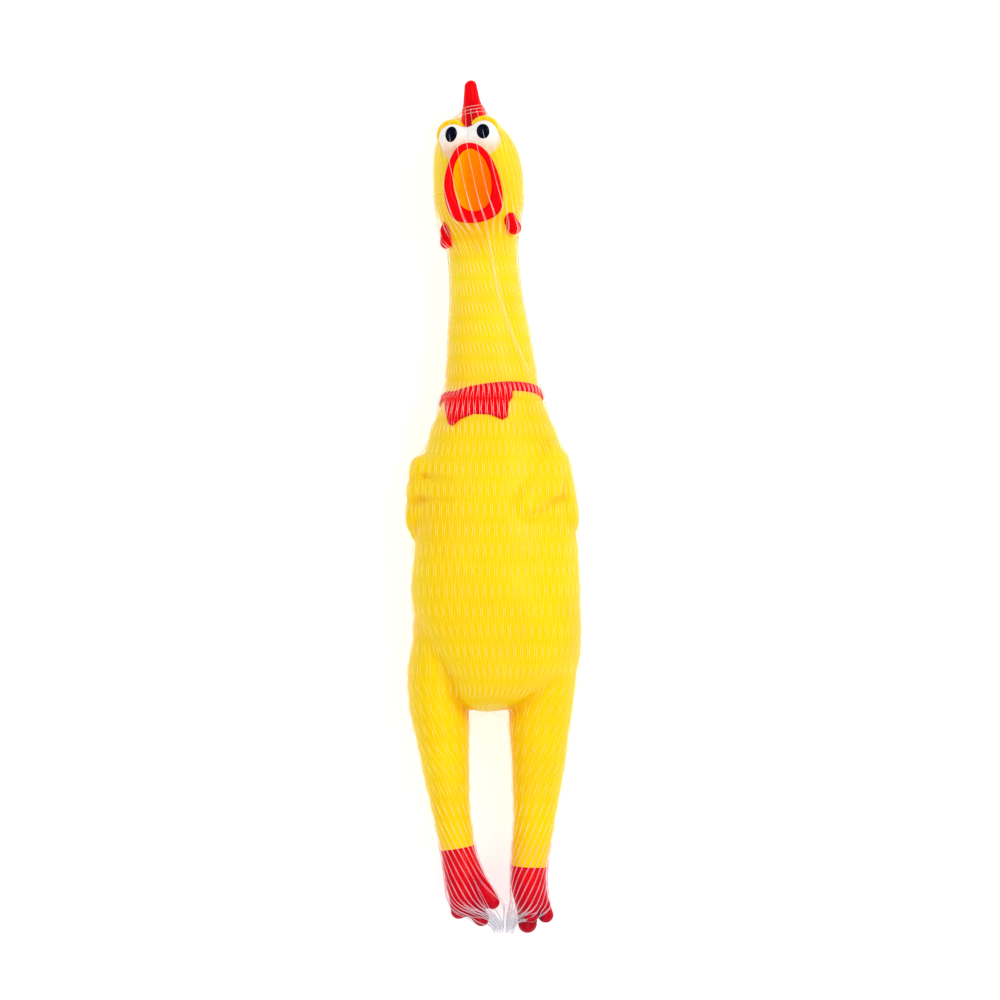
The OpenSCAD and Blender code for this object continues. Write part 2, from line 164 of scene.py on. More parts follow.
# Lofts: [y, centre x, half width, back z, front z], from the feet end to the comb end.
TRUNK = [
    [-73.5, -2.5, 0, 17, 17], [-72, -2, 9, 9, 26], [-68, -0.4, 15, 4, 34], [-60, 1.6, 20.8, 1, 40],
    [-48, 1.3, 27.2, -0.5, 43.5], [-33, 0, 30.4, -0.8, 45], [-15, 0, 29.5, -0.8, 44.5],
    [0, -0.3, 28.2, -0.8, 43], [14, -0.8, 26.2, -0.4, 41.2], [25, -1, 23.6, 1, 38.6],
    [36, -1.2, 19.4, 2.6, 35.6], [44, -1.5, 17, 3.6, 33.2], [54, -1.9, 15.8, 4, 31.4],
    [65, -2.7, 14.4, 4, 30], [77, -3.6, 13, 4, 29], [88, -4.4, 12.2, 4, 28.6], [96, -5.1, 12.4, 3.4, 29.4],
    [105, -5.8, 14.2, 1.6, 32], [114, -6.2, 15.9, 0.3, 34.4], [122, -6.5, 16, 0, 34.6],
    [130, -7.2, 14.8, 1.2, 33], [136.5, -8.1, 12, 4.4, 29.6], [141, -8.9, 7.4, 9, 24.6], [143, -9.2, 0, 16.5, 16.5]]
LEFT_LEG = [
    [-148, -11, 0, 12, 12], [-142, -11.5, 4.6, 7.5, 18], [-136, -12, 6.2, 5.6, 20], [-130, -12.8, 6.3, 5.4, 19.6],
    [-123, -14.1, 6.1, 5.6, 18.6], [-114, -15.7, 6.6, 5, 19.6], [-105, -17, 7.2, 4, 20.6],
    [-94, -18.3, 8.5, 3, 23], [-83, -19.6, 9.6, 2.2, 25.4], [-72, -20.7, 10.8, 1.6, 27.4],
    [-60, -21.1, 10.9, 1.4, 30], [-48, -20.4, 10, 2, 31], [-39, -20.6, 9, 4, 30], [-32, -20, 6, 8, 26],
    [-29, -20, 0, 16, 16]]
RIGHT_LEG = [
    [-149, 11.8, 0, 12, 12], [-143, 11.8, 4.8, 7.5, 18.4], [-137, 11.8, 6.2, 5.6, 20], [-130, 12.1, 6.4, 5.4, 19.6],
    [-123, 12.8, 6.8, 5.4, 19], [-114, 13.8, 7.4, 5, 20], [-105, 14.6, 8.2, 4, 21.4],
    [-94, 15.4, 9.5, 3, 23.6], [-83, 15.6, 10.5, 2.2, 25.8], [-72, 16.3, 11.6, 1.6, 27.6],
    [-60, 18, 11.1, 1.4, 29], [-48, 18.6, 10, 2, 29], [-38, 17, 6, 6, 26], [-34, 16, 0, 16, 16]]
# The snout and the mouth's hollow run along the head's own w axis: [w, centre u, half width, low v, high v].
SNOUT = [
    [-6, 0, 0, 0, 0], [-3, 0, 8, -9, 11], [3, 0, 11.4, -13.4, 15], [9, 0, 11.2, -14, 15.2], [14, 0, 9.6, -13.2, 13.4],
    [17, 0, 8.8, -12.8, 12.7], [18.6, 0, 8.5, -12.6, 12.5], [19.4, 0, 0, 0, 0]]
POCKET = [
    [5.4, 0, 0, -1, -1], [6.4, 0, 3.6, -7.4, 5.4], [8.6, 0, 5.2, -10.0, 8.2], [11, 0, 5.9, -11.0, 9.6],
    [14, 0, 6.4, -11, 10.8], [17, 0, 6.8, -10.9, 11.4], [20, 0, 7.0, -10.9, 11.6], [26, 0, 7.0, -10.9, 11.7]]

# Head axes: u to the viewer's right, v towards the comb and w out of the face.
HEAD_AT = np.array([-6.4, 119.0, 17.5])
HEAD_TILT = math.radians(6.5)
HEAD_YAW = math.radians(-8)
LIP_AT = (0.4, -0.9, 19.4)
LIP_HALF = (8.5, 12.8)
EYE_AT = (5.7, 16.0, 12.6)
EYE_HALF = (5.1, 4.9, 3.6)
LID_ARC = (math.radians(8), math.radians(128))
PUPIL_AT = {"left": (-5.7, 16.9, 15.75), "right": (5.9, 16.6, 15.75)}
PUPIL_HALF = {"left": (2.15, 2.85, 0.8), "right": (2.35, 2.7, 0.8)}
# The white paint round the eyes: centre u and v, half width and height.
WHITE_OVALS = ((-5.2, 13.4, 5.6, 5.6), (5.2, 13.4, 5.6, 5.6), (0.0, 14.6, 5.0, 4.6))
NECK_AXIS_AT = np.array([-4.8, 92.0, 16.2])
NECK_AXIS = np.array([-math.sin(math.radians(4.4)), math.cos(math.radians(4.4)), 0.0])

# Where the skin bends.
NECK_SIDE = (46.0, 61.5)
NECK_FRONT = (61.5, 86.0)
HEAD_TURN = (-5.0, 6.5)
BELLY_PRESS = (33.2, 49.2)
CROTCH = {"left": np.array([-9.8, -73.5, 0]), "right": np.array([4.8, -73.5, 0])}
HIP_DIR = {"left": np.array([-0.45, -0.893, 0]), "right": np.array([0.45, -0.893, 0])}
HIP = (-3.0, 12.0)
KNEE = (-87.0, -112.0)
ANKLE = (-112.0, -127.0)
# Where each foot's red begins: x, y and the slope.
PAINT_LINE = {"left": (-14.0, -123.2, 0.17), "right": (12.0, -129.9, -0.05)}

TOES = {"left": [
    ((-12.3, -128, 12.6), (-1.3, -142.9, 14.2), 4.6, 2.7), ((-11.5, -141, 12.5), (-5.4, -149.2, 11), 3.6, 2.9),
    ((-10.5, -138, 12.8), (-4.7, -143.4, 13.2), 3.8, 2.5),
    ((-13, -139, 13.6), (-13.6, -146.4, 12.8), 3.5, 2.8), ((-12, -136, 8), (-14, -143.4, 3.4), 3, 2.3)], "right": [
    ((11.5, -139, 10.5), (11.4, -151.4, 8.5), 4, 3.4), ((12.4, -139, 16), (12.8, -147.6, 16.6), 3.6, 2.7),
    ((13.6, -138, 13.6), (18.1, -147.8, 13.5), 3.8, 2.8), ((12, -138, 8), (10.4, -145, 3.4), 3, 2.3)]}
LOBES = {"left": [
    ((-15, 16.2, 35.2), (-29.2, 14.4, 22), 1.6, 4.7), ((-14.5, 9.6, 36.6), (-30.8, 7, 22), 1.6, 4.4),
    ((-14.5, 2, 37.4), (-30, -2.2, 22), 1.6, 4.4), ((-24, 14, 22), (-28, 0, 18), 6, 6),
    ((-29.4, -3, 22), (-28.4, -8.6, 21.5), 4.0, 2.6)], "right": [
    ((20, 20, 30), (11.5, 1.6, 38.8), 3.4, 4.6), ((22, 18, 29), (20, 9.2, 34), 4.4, 4.6),
    ((25, 16, 25), (27.2, -1.5, 25), 4.6, 4.9)]}
# How far the wings rise from the body, and the fillets between their lobes.
WING_RISE = {"left": (4.0, 2.6), "right": (1.8, 1.4)}
# The lines on the wings: x and y of their two ends, and their depth.
GROOVES = [(-25.5, 12.1, -17.5, 11.2, 0.6), (-25.0, 3.8, -17.0, 3.2, 0.6), (12.5, -2.0, 24, 4.6, 0.5)]
COMB_LOBES = [(6, 36.3, 4.4, 2.25), (-1.5, 34.2, 4.2, 2.0), (-9, 30.8, 3.8, 1.9)]
WATTLES = {
    "left": ((-11.8, -13.4, 7.0), (-12.7, -16.6, 7.2), (-13.4, -21.0, 6.2), 2.15),
    "right": ((9.2, -11.6, 8.6), (10.6, -15.2, 8.4), (12.0, -18.5, 7.0), 2.6)}
BAND_AT = np.array([-7.0, 43.2, 33.0])
BAND_NORMAL = np.array([-0.117, 0.955, -0.2734])
# How far the collar rises behind the bow, and the x where that begins and ends.
BAND_RISE = (2.0, -14, -20)
BOW = [
    (-19.0, 36.4), (-17.6, 30.6), (-15.6, 29.6), (-12.4, 32.2), (-8.0, 33.9), (-2.2, 33.7), (2.4, 31.8), (4.6, 33.0),
    (5.0, 38.2), (7.0, 41.4), (7.0, 46.4), (-3.0, 45.6), (-9.4, 44.4), (-19.4, 41.2)]
BOW_KNOT = (-7.8, 39.2)

# Fillets: snout to neck, leg to belly, and the edge of the flat that the toy rests on.
SNOUT_FILLET = 6.0
LEG_FILLET = 2.0
REST_EDGE = 0.9
# How far the lines on the wings fade out, across them and past their ends.
GROOVE_FADE = (0.95, 2.0)
WALL = 1.6
# How far out the skin looks for its own other side, to place the painted shade in creases and in wide folds.
CREASE_REACH = 2.2
FOLD_REACH = 7.0
# Below these lines the hips begin, and the legs are clear of each other.
HIPS_Y = -50.0
LEGS_Y = -100.0
SIDES = ("left", "right")


# -------- distance fields

class Loft:
    """A tube of ellipses. It is called with the coordinate along it, then the two across it."""

    def __init__(self, rows):
        t = np.array(rows, float)
        self.at = t[:, 0]
        half = t[:, 2]
        deep = (t[:, 4] - t[:, 3]) / 2
        # A pointed end keeps its neighbour's ratio of depth to width.
        ratio = np.log(np.maximum(deep, 1e-9) / np.maximum(half, 1e-9))
        for end, near in ((0, 1), (-1, -2)):
            if half[end] <= 0:
                ratio[end] = ratio[near]
        area = np.maximum(half, 0.01) * np.maximum(deep, 0.01)
        self.columns = [t[:, 1], (t[:, 3] + t[:, 4]) / 2, area, ratio]
        i = np.arange(len(t))
        low, high = np.maximum(i - 1, 0), np.minimum(i + 1, len(t) - 1)
        self.slopes = [(c[high] - c[low]) / (self.at[high] - self.at[low]) for c in self.columns]

    def sections(self, along):
        """(value, slope) of the centre across and up, half width times half depth, and log ratio."""
        i = np.clip(np.searchsorted(self.at, along, side="right") - 1, 0, len(self.at) - 2)
        h = self.at[i + 1] - self.at[i]
        s = np.clip((along - self.at[i]) / h, 0, 1)
        beyond = along - np.clip(along, self.at[0], self.at[-1])
        out = []
        for n, (c, m) in enumerate(zip(self.columns, self.slopes)):
            a, b, ma, mb = c[i], c[i + 1], m[i] * h, m[i + 1] * h
            value = ((1 + 2 * s) * (1 - s) ** 2 * a + s * (1 - s) ** 2 * ma
                     + s * s * (3 - 2 * s) * b + s * s * (s - 1) * mb)
            slope = (6 * s * s - 6 * s) * (a - b) + (3 * s * s - 4 * s + 1) * ma + (3 * s * s - 2 * s) * mb
            slope = slope / h
            if n == 2:
                # Past its ends, the loft goes on getting thinner.
                value = value + beyond * slope
            out.append((value, slope))
        return out

    def __call__(self, along, across, up):
        (cx, dcx), (cz, dcz), (area, darea), (log_k, dk) = self.sections(along)
        k = np.exp(log_k)
        x, z = across - cx, up - cz
        value = x * x * k + z * z / k - area
        gx, gz = 2 * x * k, 2 * z / k
        gy = -gx * dcx - gz * dcz + (x * x * k - z * z / k) * dk - darea
        return value / np.sqrt(gx * gx + gy * gy + gz * gz + 1e-3)


def fade(x, low, high):
    """0 at low, rising to 1 at high."""
    return np.clip((x - low) / (high - low), 0, 1)


def ease(t):
    """Makes a fade level at both ends."""
    return t * t * (3 - 2 * t)


def join(a, b, k):
    """Union with a fillet about k wide."""
    h = np.maximum(k - np.abs(a - b), 0)
    return np.minimum(a, b) - h * h / (4 * k)


def join_all(k, first, *rest):
    """Union of several, one after another."""
    for d in rest:
        first = join(first, d, k)
    return first


def both(a, b, k):
    """Intersection with a rounded edge."""
    return -join(-a, -b, k)


def cone(p, a, b, ra, rb, squeeze=(1, 1, 1)):
    """A rod with round ends, of radius ra at a and rb at b."""
    s = np.array(squeeze, float)
    a, b = np.array(a, float) * s, np.array(b, float) * s
    q = [p[i] * s[i] for i in range(3)]
    d = b - a
    t = np.clip(sum((q[i] - a[i]) * d[i] for i in range(3)) / (d @ d), 0, 1)
    return np.sqrt(sum((q[i] - a[i] - t * d[i]) ** 2 for i in range(3))) - (ra + t * (rb - ra))


def past(p, at, way):
    """How far points are past a place, along a direction."""
    return sum((p[i] - at[i]) * way[i] for i in range(3))


def ellipsoid(p, at, half):
    q = [(p[i] - at[i]) / half[i] for i in range(3)]
    k0 = np.sqrt(q[0] ** 2 + q[1] ** 2 + q[2] ** 2) + 1e-9
    k1 = np.sqrt(sum((q[i] / half[i]) ** 2 for i in range(3))) + 1e-9
    return k0 * (k0 - 1) / k1


def turned(x, y, angle):
    """Two coordinates, in axes that are turned by the angle."""
    c, s = math.cos(angle), math.sin(angle)
    return c * x + s * y, c * y - s * x


def in_head(p):
    """u, v and w of points given as x, y and z."""
    x, v = turned(p[0] - HEAD_AT[0], p[1] - HEAD_AT[1], HEAD_TILT)
    u, w = turned(x, p[2] - HEAD_AT[2], -HEAD_YAW)
    return u, v, w


def from_head(u, v, w):
    """Points in x, y and z, one to a row."""
    x, z = turned(u, w, HEAD_YAW)
    x, y = turned(x, v, -HEAD_TILT)
    return np.stack([x, y, z], -1) + HEAD_AT


trunk_loft, snout_loft, pocket_loft = Loft(TRUNK), Loft(SNOUT), Loft(POCKET)
leg_lofts = {"left": Loft(LEFT_LEG), "right": Loft(RIGHT_LEG)}


def trunk(p):
    return trunk_loft(p[1], p[0], p[2])


def egg(u, v):
    """Warps the snout's ellipses: narrower towards the eyes, and flatter across the chin."""
    low = np.clip(-v / 12, 0, 1.3)
    return u * (1 + 0.013 * v - 0.0003 * v * v), v + 0.012 * np.minimum(u * u, 90) * low * low


def round_mouth(p):
    """u and v from the middle of the mouth, warped to its egg shape, and w."""
    u, v, w = in_head(p)
    return (*egg(u - LIP_AT[0], v - LIP_AT[1]), w)


def snout(p):
    u, v, w = round_mouth(p)
    return snout_loft(w, u, v)


def brows(p):
    """The thick lids, each an arc round the top of an eye."""
    u, v, w = in_head(p)
    lids = []
    for side in (-1, 1):
        x, y, z = (u - side * EYE_AT[0]) * side, v - EYE_AT[1], (w - EYE_AT[2] + 1.2) * 0.6
        angle = np.clip(np.arctan2(y, x), *LID_ARC)
        arc_x, arc_y = (EYE_HALF[0] - 0.2) * np.cos(angle), (EYE_HALF[1] + 0.35) * np.sin(angle)
        lids.append(np.sqrt((x - arc_x) ** 2 + (y - arc_y) ** 2 + z * z) - (1.05 + 0.35 * np.sin(angle)))
    return join_all(1.0, *lids)


def leg(p, side):
    return leg_lofts[side](p[1], p[0], p[2])


def foot(p, side):
    return join(leg(p, side), join_all(1.1, *(cone(p, *toe) for toe in TOES[side])), 2.2)


def wing(p, side, body):
    """The folded wing: lobes that stand a little proud of the body."""
    rise, fillet = WING_RISE[side]
    return both(join_all(fillet, *(cone(p, *lobe) for lobe in LOBES[side])), body - rise, 2.4)


def grooves(p):
    """How deep the lines between the feathers of the folded wings are."""
    x, y, z = p
    out = 0.0
    for ax, ay, bx, by, deep in GROOVES:
        t = (x - ax) / (bx - ax)
        off = y - ay - (by - ay) * np.clip(t, 0, 1)
        beyond = (t - np.clip(t, 0, 1)) * (bx - ax)
        out = out + deep * np.exp(-(off / GROOVE_FADE[0]) ** 2 - (beyond / GROOVE_FADE[1]) ** 2)
    return out * fade(z, 13, 19)


def wobble(p):
    """The slight unevenness of a soft moulding."""
    x, y, z = p
    return (0.16 * np.sin(0.19 * x + 0.083 * y + 1.3) * np.sin(0.11 * y - 0.17 * z)
            + 0.09 * np.sin(0.31 * y + 0.22 * x + 0.4) * np.sin(0.27 * z + 0.2 * x))


def head_skin(p):
    d = join(trunk(p), snout(p), SNOUT_FILLET)
    d = join(d, brows(p), 1.2)
    return both(d + wobble(p), -p[2], REST_EDGE)


def torso_skin(p):
    body = join(trunk(p), snout(p), SNOUT_FILLET)
    d = join(body, wing(p, "left", body), 2.2)
    d = join(d, wing(p, "right", body), 3.4)
    d = join(d, leg(p, "left"), LEG_FILLET)
    d = join(d, leg(p, "right"), hip_fillet(p))
    return both(d + wobble(p) + grooves(p), -p[2], REST_EDGE)


def hip_fillet(p):
    """The right thigh runs smoothly into the belly above the hip's cut, and meets it in a crease below."""
    return LEG_FILLET + 7.0 * fade(p[1], -66, -54) * fade(p[0], 2, 8)


def leg_skin(side):
    def field(p):
        d = join(trunk(p), foot(p, side), LEG_FILLET)
        return both(d + wobble(p), -p[2], REST_EDGE)
    return field


def pocket(p):
    """The hollow of the mouth."""
    u, v, w = round_mouth(p)
    return pocket_loft(w, u, v)


def lining(p):
    """The painted inside of the mouth: a cup that the lips' ring closes off."""
    d = both(pocket(p) - 0.8, -pocket(p), 0.3)
    return np.maximum(d, in_head(p)[2] - LIP_AT[2] + 0.5)


def lips(p):
    u, v, w = round_mouth(p)
    a, b = LIP_HALF
    k0 = np.sqrt((u / a) ** 2 + (v / b) ** 2) + 1e-9
    k1 = np.sqrt((u / a ** 2) ** 2 + (v / b ** 2) ** 2) + 1e-9
    out = k0 * (k0 - 1) / k1
    fat = 1.64 - 0.034 * v + 0.1 * np.sin(0.5 * u + 0.3 * v)
    return np.sqrt(out ** 2 + ((w - LIP_AT[2] + 0.3 * np.cos(u / 5)) * 1.15) ** 2) - fat


def comb(p):
    u, v, w = in_head(p)
    q = (u - 1.9 - 0.09 * (v - 26), v, w)
    out = cone(q, (0, 20, 0), (0, 24.5, 0), 4.0, 3.4, (1, 1, 0.36))
    for at, top, ra, rb in COMB_LOBES:
        aside = 0.1 * (at - 6) - 0.1
        out = join(out, cone(q, (aside, 19, at * 0.9), (aside - 0.6, top - rb, at), ra, rb, (1, 1, 0.85)), 2.6)
    return out


def wattle(p, side):
    q = in_head(p)
    root, top, low, fat = WATTLES[side]
    upper = cone(q, root, top, fat * 0.7, fat * 0.9, (1, 1, 0.75))
    return join(upper, cone(q, top, low, fat * 0.92, fat, (1, 1, 0.72)), 1.0)


def eye(p, side):
    """An eyeball, its soft lower edge, and half of the bridge between the two eyes."""
    q = in_head(p)
    s = -1 if side == "left" else 1
    d = ellipsoid(q, (s * EYE_AT[0], EYE_AT[1], EYE_AT[2]), EYE_HALF)
    apron = ellipsoid(q, (s * 4.9, 13.2, 10.4), (4.9, 3.8, 3.7))
    bridge = ellipsoid(q, (0, 14.6, 11.0), (4.0, 4.6, 4.0))
    return both(join_all(2.4, d, apron, bridge), -s * q[0], 0.25)


def pupil(p, side):
    u, v, w = in_head(p)
    at = PUPIL_AT[side]
    lean = 0.12 if side == "left" else 0.0
    return ellipsoid((u - lean * (v - at[1]), v, w), at, PUPIL_HALF[side])


def white_patch(v):
    """1 where the face is painted white, from the eyes down to the lips."""
    u, up, w = in_head(v.T)
    ovals = [
        (np.sqrt(((u - x) / half_x) ** 2 + ((up - y) / half_y) ** 2) - 1) * half_x
        for x, y, half_x, half_y in WHITE_OVALS]
    return np.clip(0.5 - join_all(1.5, *ovals) / 0.9, 0, 1) * fade(w, 3, 5)


def polygon_field(x, y, points):
    """Signed distance to a polygon."""
    d = np.full(np.shape(x), 1e9)
    sign = np.ones(np.shape(x))
    n = len(points)
    for i in range(n):
        (ax, ay), (bx, by) = points[i], points[i - 1]
        ex, ey = bx - ax, by - ay
        wx, wy = x - ax, y - ay
        t = np.clip((wx * ex + wy * ey) / (ex * ex + ey * ey), 0, 1)
        d = np.minimum(d, (wx - ex * t) ** 2 + (wy - ey * t) ** 2)
        above, below, left = y >= ay, y < by, ex * wy > ey * wx
        sign = np.where((above & below & left) | (~above & ~below & ~left), -sign, sign)
    return sign * np.sqrt(d)


def band(p):
    """The collar round the foot of the neck."""
    away = past(p, BAND_AT, BAND_NORMAL) - BAND_RISE[0] * ease(fade(p[0], *BAND_RISE[1:]))
    d = both(trunk(p) + wobble(p) - 0.95, np.abs(away) - 1.75, 1.1)
    return np.maximum(d, -(trunk(p) + 1.2))


def bow(p):
    """The bow, moulded flat on the chest, with its folds and knot."""
    x, y, z = p
    outline = polygon_field(x, y, BOW) + 0.35
    knot_x, knot_y = x - BOW_KNOT[0], y - BOW_KNOT[1]
    pinch = np.exp(-(knot_x / 2.2) ** 2)
    folds = 0.16 * np.cos(1.1 * knot_y / (0.4 + 0.06 * np.abs(knot_x))) * (1 - pinch)
    rise = 1.5 + folds - 0.4 * pinch + 0.7 * np.exp(-(knot_x / 2.0) ** 4 - (knot_y / 3.4) ** 4)
    d = both(trunk(p) + wobble(p) - rise, outline, 1.6)
    return np.maximum(np.maximum(d, -(trunk(p) + 1.2)), 17.0 - z)


# -------- fields to meshes

CORNERS = np.array([[x, y, z] for x in (0, 1) for y in (0, 1) for z in (0, 1)])
EDGES = [(a, b) for a in range(8) for b in range(a + 1, 8) if np.abs(CORNERS[a] - CORNERS[b]).sum() == 1]


def gradient(field, v, h=0.02):
    """The field's slope, from four points around each point, and its value there."""
    g, value = np.zeros_like(v), np.zeros(len(v))
    for step in np.array([[1, -1, -1], [-1, -1, 1], [-1, 1, -1], [1, 1, 1]]):
        f = field((v + h * step).T)
        g += f[:, None] * step
        value += f
    return g / (4 * h), value / 4


def settle(field, v, level=0.0, rounds=3, most=0.6):
    """Moves points onto the surface where the field has that value."""
    for _ in range(rounds):
        g, value = gradient(field, v)
        move = (value - level) / np.maximum((g * g).sum(1), 0.25)
        v = v - g * np.clip(move, -most, most)[:, None]
    return v


def unit(v):
    return v / np.maximum(np.linalg.norm(v, axis=-1, keepdims=True), 1e-9)


def normals_of(field, v):
    return unit(gradient(field, v)[0])


def surface(field, low, high, h):
    """Triangles of the surface where the field is 0, one vertex to a cell."""
    axes = [np.arange(a, b + h, h) for a, b in zip(low, high)]
    f = np.empty([len(a) for a in axes], np.float32)
    for i, x in enumerate(axes[0]):
        y, z = np.meshgrid(axes[1], axes[2], indexing="ij")
        f[i] = field((np.full(y.shape, x), y, z))
    n = np.array(f.shape) - 1
    cells = [f[c[0]:c[0] + n[0], c[1]:c[1] + n[1], c[2]:c[2] + n[2]] for c in CORNERS]
    inside = sum((c < 0).astype(np.int8) for c in cells)
    active = np.argwhere((inside > 0) & (inside < 8))
    index = np.full(n, -1)
    index[tuple(active.T)] = np.arange(len(active))
    values = np.stack([c[tuple(active.T)] for c in cells], 1).astype(float)
    total, count = np.zeros((len(active), 3)), np.zeros(len(active))
    for a, b in EDGES:
        m = (values[:, a] < 0) != (values[:, b] < 0)
        t = values[m, a] / (values[m, a] - values[m, b])
        total[m] += CORNERS[a] + t[:, None] * (CORNERS[b] - CORNERS[a])
        count[m] += 1
    v = np.array(low) + h * (active + total / count[:, None])
    quads = []
    for axis, across in enumerate(([1, 2], [2, 0], [0, 1])):
        at = np.argwhere(np.diff((f < 0).astype(np.int8), axis=axis))
        at = at[((at[:, across] > 0) & (at[:, across] < n[across])).all(1)]
        ring = []
        for step in ((-1, -1), (0, -1), (0, 0), (-1, 0)):
            c = at.copy()
            c[:, across] += step
            ring.append(index[tuple(c.T)])
        q = np.stack(ring, 1)
        flip = f[tuple(at.T)] >= 0
        q[flip] = q[flip][:, ::-1]
        quads.append(q)
    q = np.concatenate(quads)
    return settle(field, v), np.concatenate([q[:, [0, 1, 2]], q[:, [0, 2, 3]]])


def cut_mesh(v, t, g, only=None):
    """Splits the triangles that cross g = 0, of those that only picks by their middles."""
    value = g(v.T)
    value = np.where(np.abs(value) < 0.02, 0, value)
    s = np.sign(value)[t]
    crossing = (s.min(1) < 0) & (s.max(1) > 0)
    if only is not None:
        crossing &= only(v[t].mean(1).T)
    points, made, out = list(v), {}, []

    def on_edge(a, b):
        key = (min(a, b), max(a, b))
        if key not in made:
            i, j = key
            r = value[i] / (value[i] - value[j])
            made[key] = len(points)
            points.append(v[i] + r * (v[j] - v[i]))
        return made[key]

    for tri in t[crossing]:
        for side in (-1, 1):
            poly = []
            for k in range(3):
                a, b = tri[k], tri[(k + 1) % 3]
                if value[a] * side >= 0:
                    poly.append(a)
                if value[a] * value[b] < 0:
                    poly.append(on_edge(a, b))
            for k in range(1, len(poly) - 1):
                out.append((poly[0], poly[k], poly[k + 1]))
    if out:
        t = np.concatenate([t[~crossing], np.array(out)])
    return np.array(points), t


def compact(v, t):
    """Leaves out the points that no triangle uses."""
    used, inverse = np.unique(t, return_inverse=True)
    return v[used], inverse.reshape(t.shape)


def thicken(v, t, n, field, wall):
    """A closed shell: the outer skin, an inner one a wall inside it, and the rims between them."""
    inner = settle(field, v - n * wall, -wall, 2)
    strayed = (field(inner.T) > -0.6 * wall) | (np.linalg.norm(inner - v, axis=1) > 1.8 * wall)
    inner[strayed] = (v - n * 0.4 * wall)[strayed]
    edges = np.concatenate([t[:, [0, 1]], t[:, [1, 2]], t[:, [2, 0]]])
    key = np.sort(edges, 1)
    _, first, count = np.unique(key, axis=0, return_index=True, return_counts=True)
    rim = edges[first[count == 1]]
    m = len(v)
    rims = np.concatenate([
        np.stack([rim[:, 1], rim[:, 0], rim[:, 0] + m], 1),
        np.stack([rim[:, 1], rim[:, 0] + m, rim[:, 1] + m], 1)])
    return np.concatenate([v, inner]), np.concatenate([t, t[:, ::-1] + m, rims]), np.concatenate([n, -n])


def smoothed(values, t, rounds=3):
    """Averages each point's value with its neighbours'."""
    following = t[:, [1, 2, 0]]
    a, b = np.concatenate([t, following]).ravel(), np.concatenate([following, t]).ravel()
    count = np.bincount(a, minlength=len(values)) + 1.0
    for _ in range(rounds):
        values = (values + np.bincount(a, weights=values[b], minlength=len(values))) / count
    return values


def creases(field, v, t, n, reach, gain, less, rounds=3):
    """1 in a deep crease, 0 on an open surface: where the materials paint shade."""
    hollow = np.clip(1 - field((v + n * reach).T) / reach, 0, 1)
    return smoothed(np.clip(hollow * gain - less, 0, 1), t, rounds)


def add_object(name, data):
    obj = bpy.data.objects.new(name, data)
    bpy.context.scene.collection.objects.link(obj)
    return obj


def mesh_object(name, v, t, normals, material, **attributes):
    """An object from points in millimetres, with one value of each attribute to a point."""
    me = bpy.data.meshes.new(name)
    me.vertices.add(len(v))
    me.vertices.foreach_set("co", ((v + SHIFT) * MM).astype(np.float32).ravel())
    me.loops.add(t.size)
    me.loops.foreach_set("vertex_index", t.astype(np.int32).ravel())
    me.polygons.add(len(t))
    me.polygons.foreach_set("loop_start", np.arange(0, t.size, t.shape[1], dtype=np.int32))
    me.update(calc_edges=True)
    me.polygons.foreach_set("use_smooth", np.ones(len(t), bool))
    me.attributes.new("rest", "FLOAT_VECTOR", "POINT").data.foreach_set("vector", v.astype(np.float32).ravel())
    for key, value in attributes.items():
        me.attributes.new(key, "FLOAT", "POINT").data.foreach_set("value", np.asarray(value, np.float32))
    if normals is not None:
        me.normals_split_custom_set_from_vertices([tuple(x) for x in normals.tolist()])
    me.materials.append(material)
    return add_object(name, me)


def cut_all(v, t, cuts):
    for g, only in cuts:
        v, t = cut_mesh(v, t, g, only)
    return v, t


def skin_object(name, v, t, field, material):
    """One stretch of the hollow skin, from the triangles of its outer face."""
    v, t = compact(v, t)
    n = normals_of(field, v)
    # Painted shade goes where crease and fold are high; white is where the face is painted white.
    shade_and_white_paint = {
        "crease": creases(field, v, t, n, CREASE_REACH, 1.6, 0.12),
        "fold": creases(field, v, t, n, FOLD_REACH, 1.3, 0.2, 6),
        "white": white_patch(v)}
    shell = thicken(v, t, n, field, WALL)
    pad = np.zeros(len(shell[0]) - len(v))
    shade_and_white_paint = {key: np.concatenate([x, pad]) for key, x in shade_and_white_paint.items()}
    return mesh_object(name, *shell, material, **shade_and_white_paint)


def solid_object(name, field, low, high, h, material):
    """A solid piece, such as an eye or a lobe of the comb."""
    v, t = compact(*surface(field, low, high, h))
    n = normals_of(field, v)
    # The crease value sets the painted shade in the red paint's creases; these pieces have no wide folds.
    crease = creases(field, v, t, n, 1.2, 1.5, 0.1)
    return mesh_object(name, v, t, n, material, crease=crease, fold=crease * 0)


def head_block(low, high, margin=0.8):
    """The box, in x, y and z, round a box in u, v and w."""
    corners = np.array([from_head(*np.where(corner, high, low)) for corner in CORNERS])
    return corners.min(0) - margin, corners.max(0) + margin


def along_neck(p):
    return past(p, NECK_AXIS_AT, NECK_AXIS)


def past_hip(p, side):
    return past(p, CROTCH[side], HIP_DIR[side])


def past_paint(p, side):
    x, y, slope = PAINT_LINE[side]
    return (y + slope * (p[0] - x)) - p[1]


def on_side(side, p):
    """The middle between the feet is further right than the middle between the thighs."""
    middle = np.where(p[1] < -95, 4.0, -2.5)
    return (p[0] < middle) if side == "left" else (p[0] > middle)


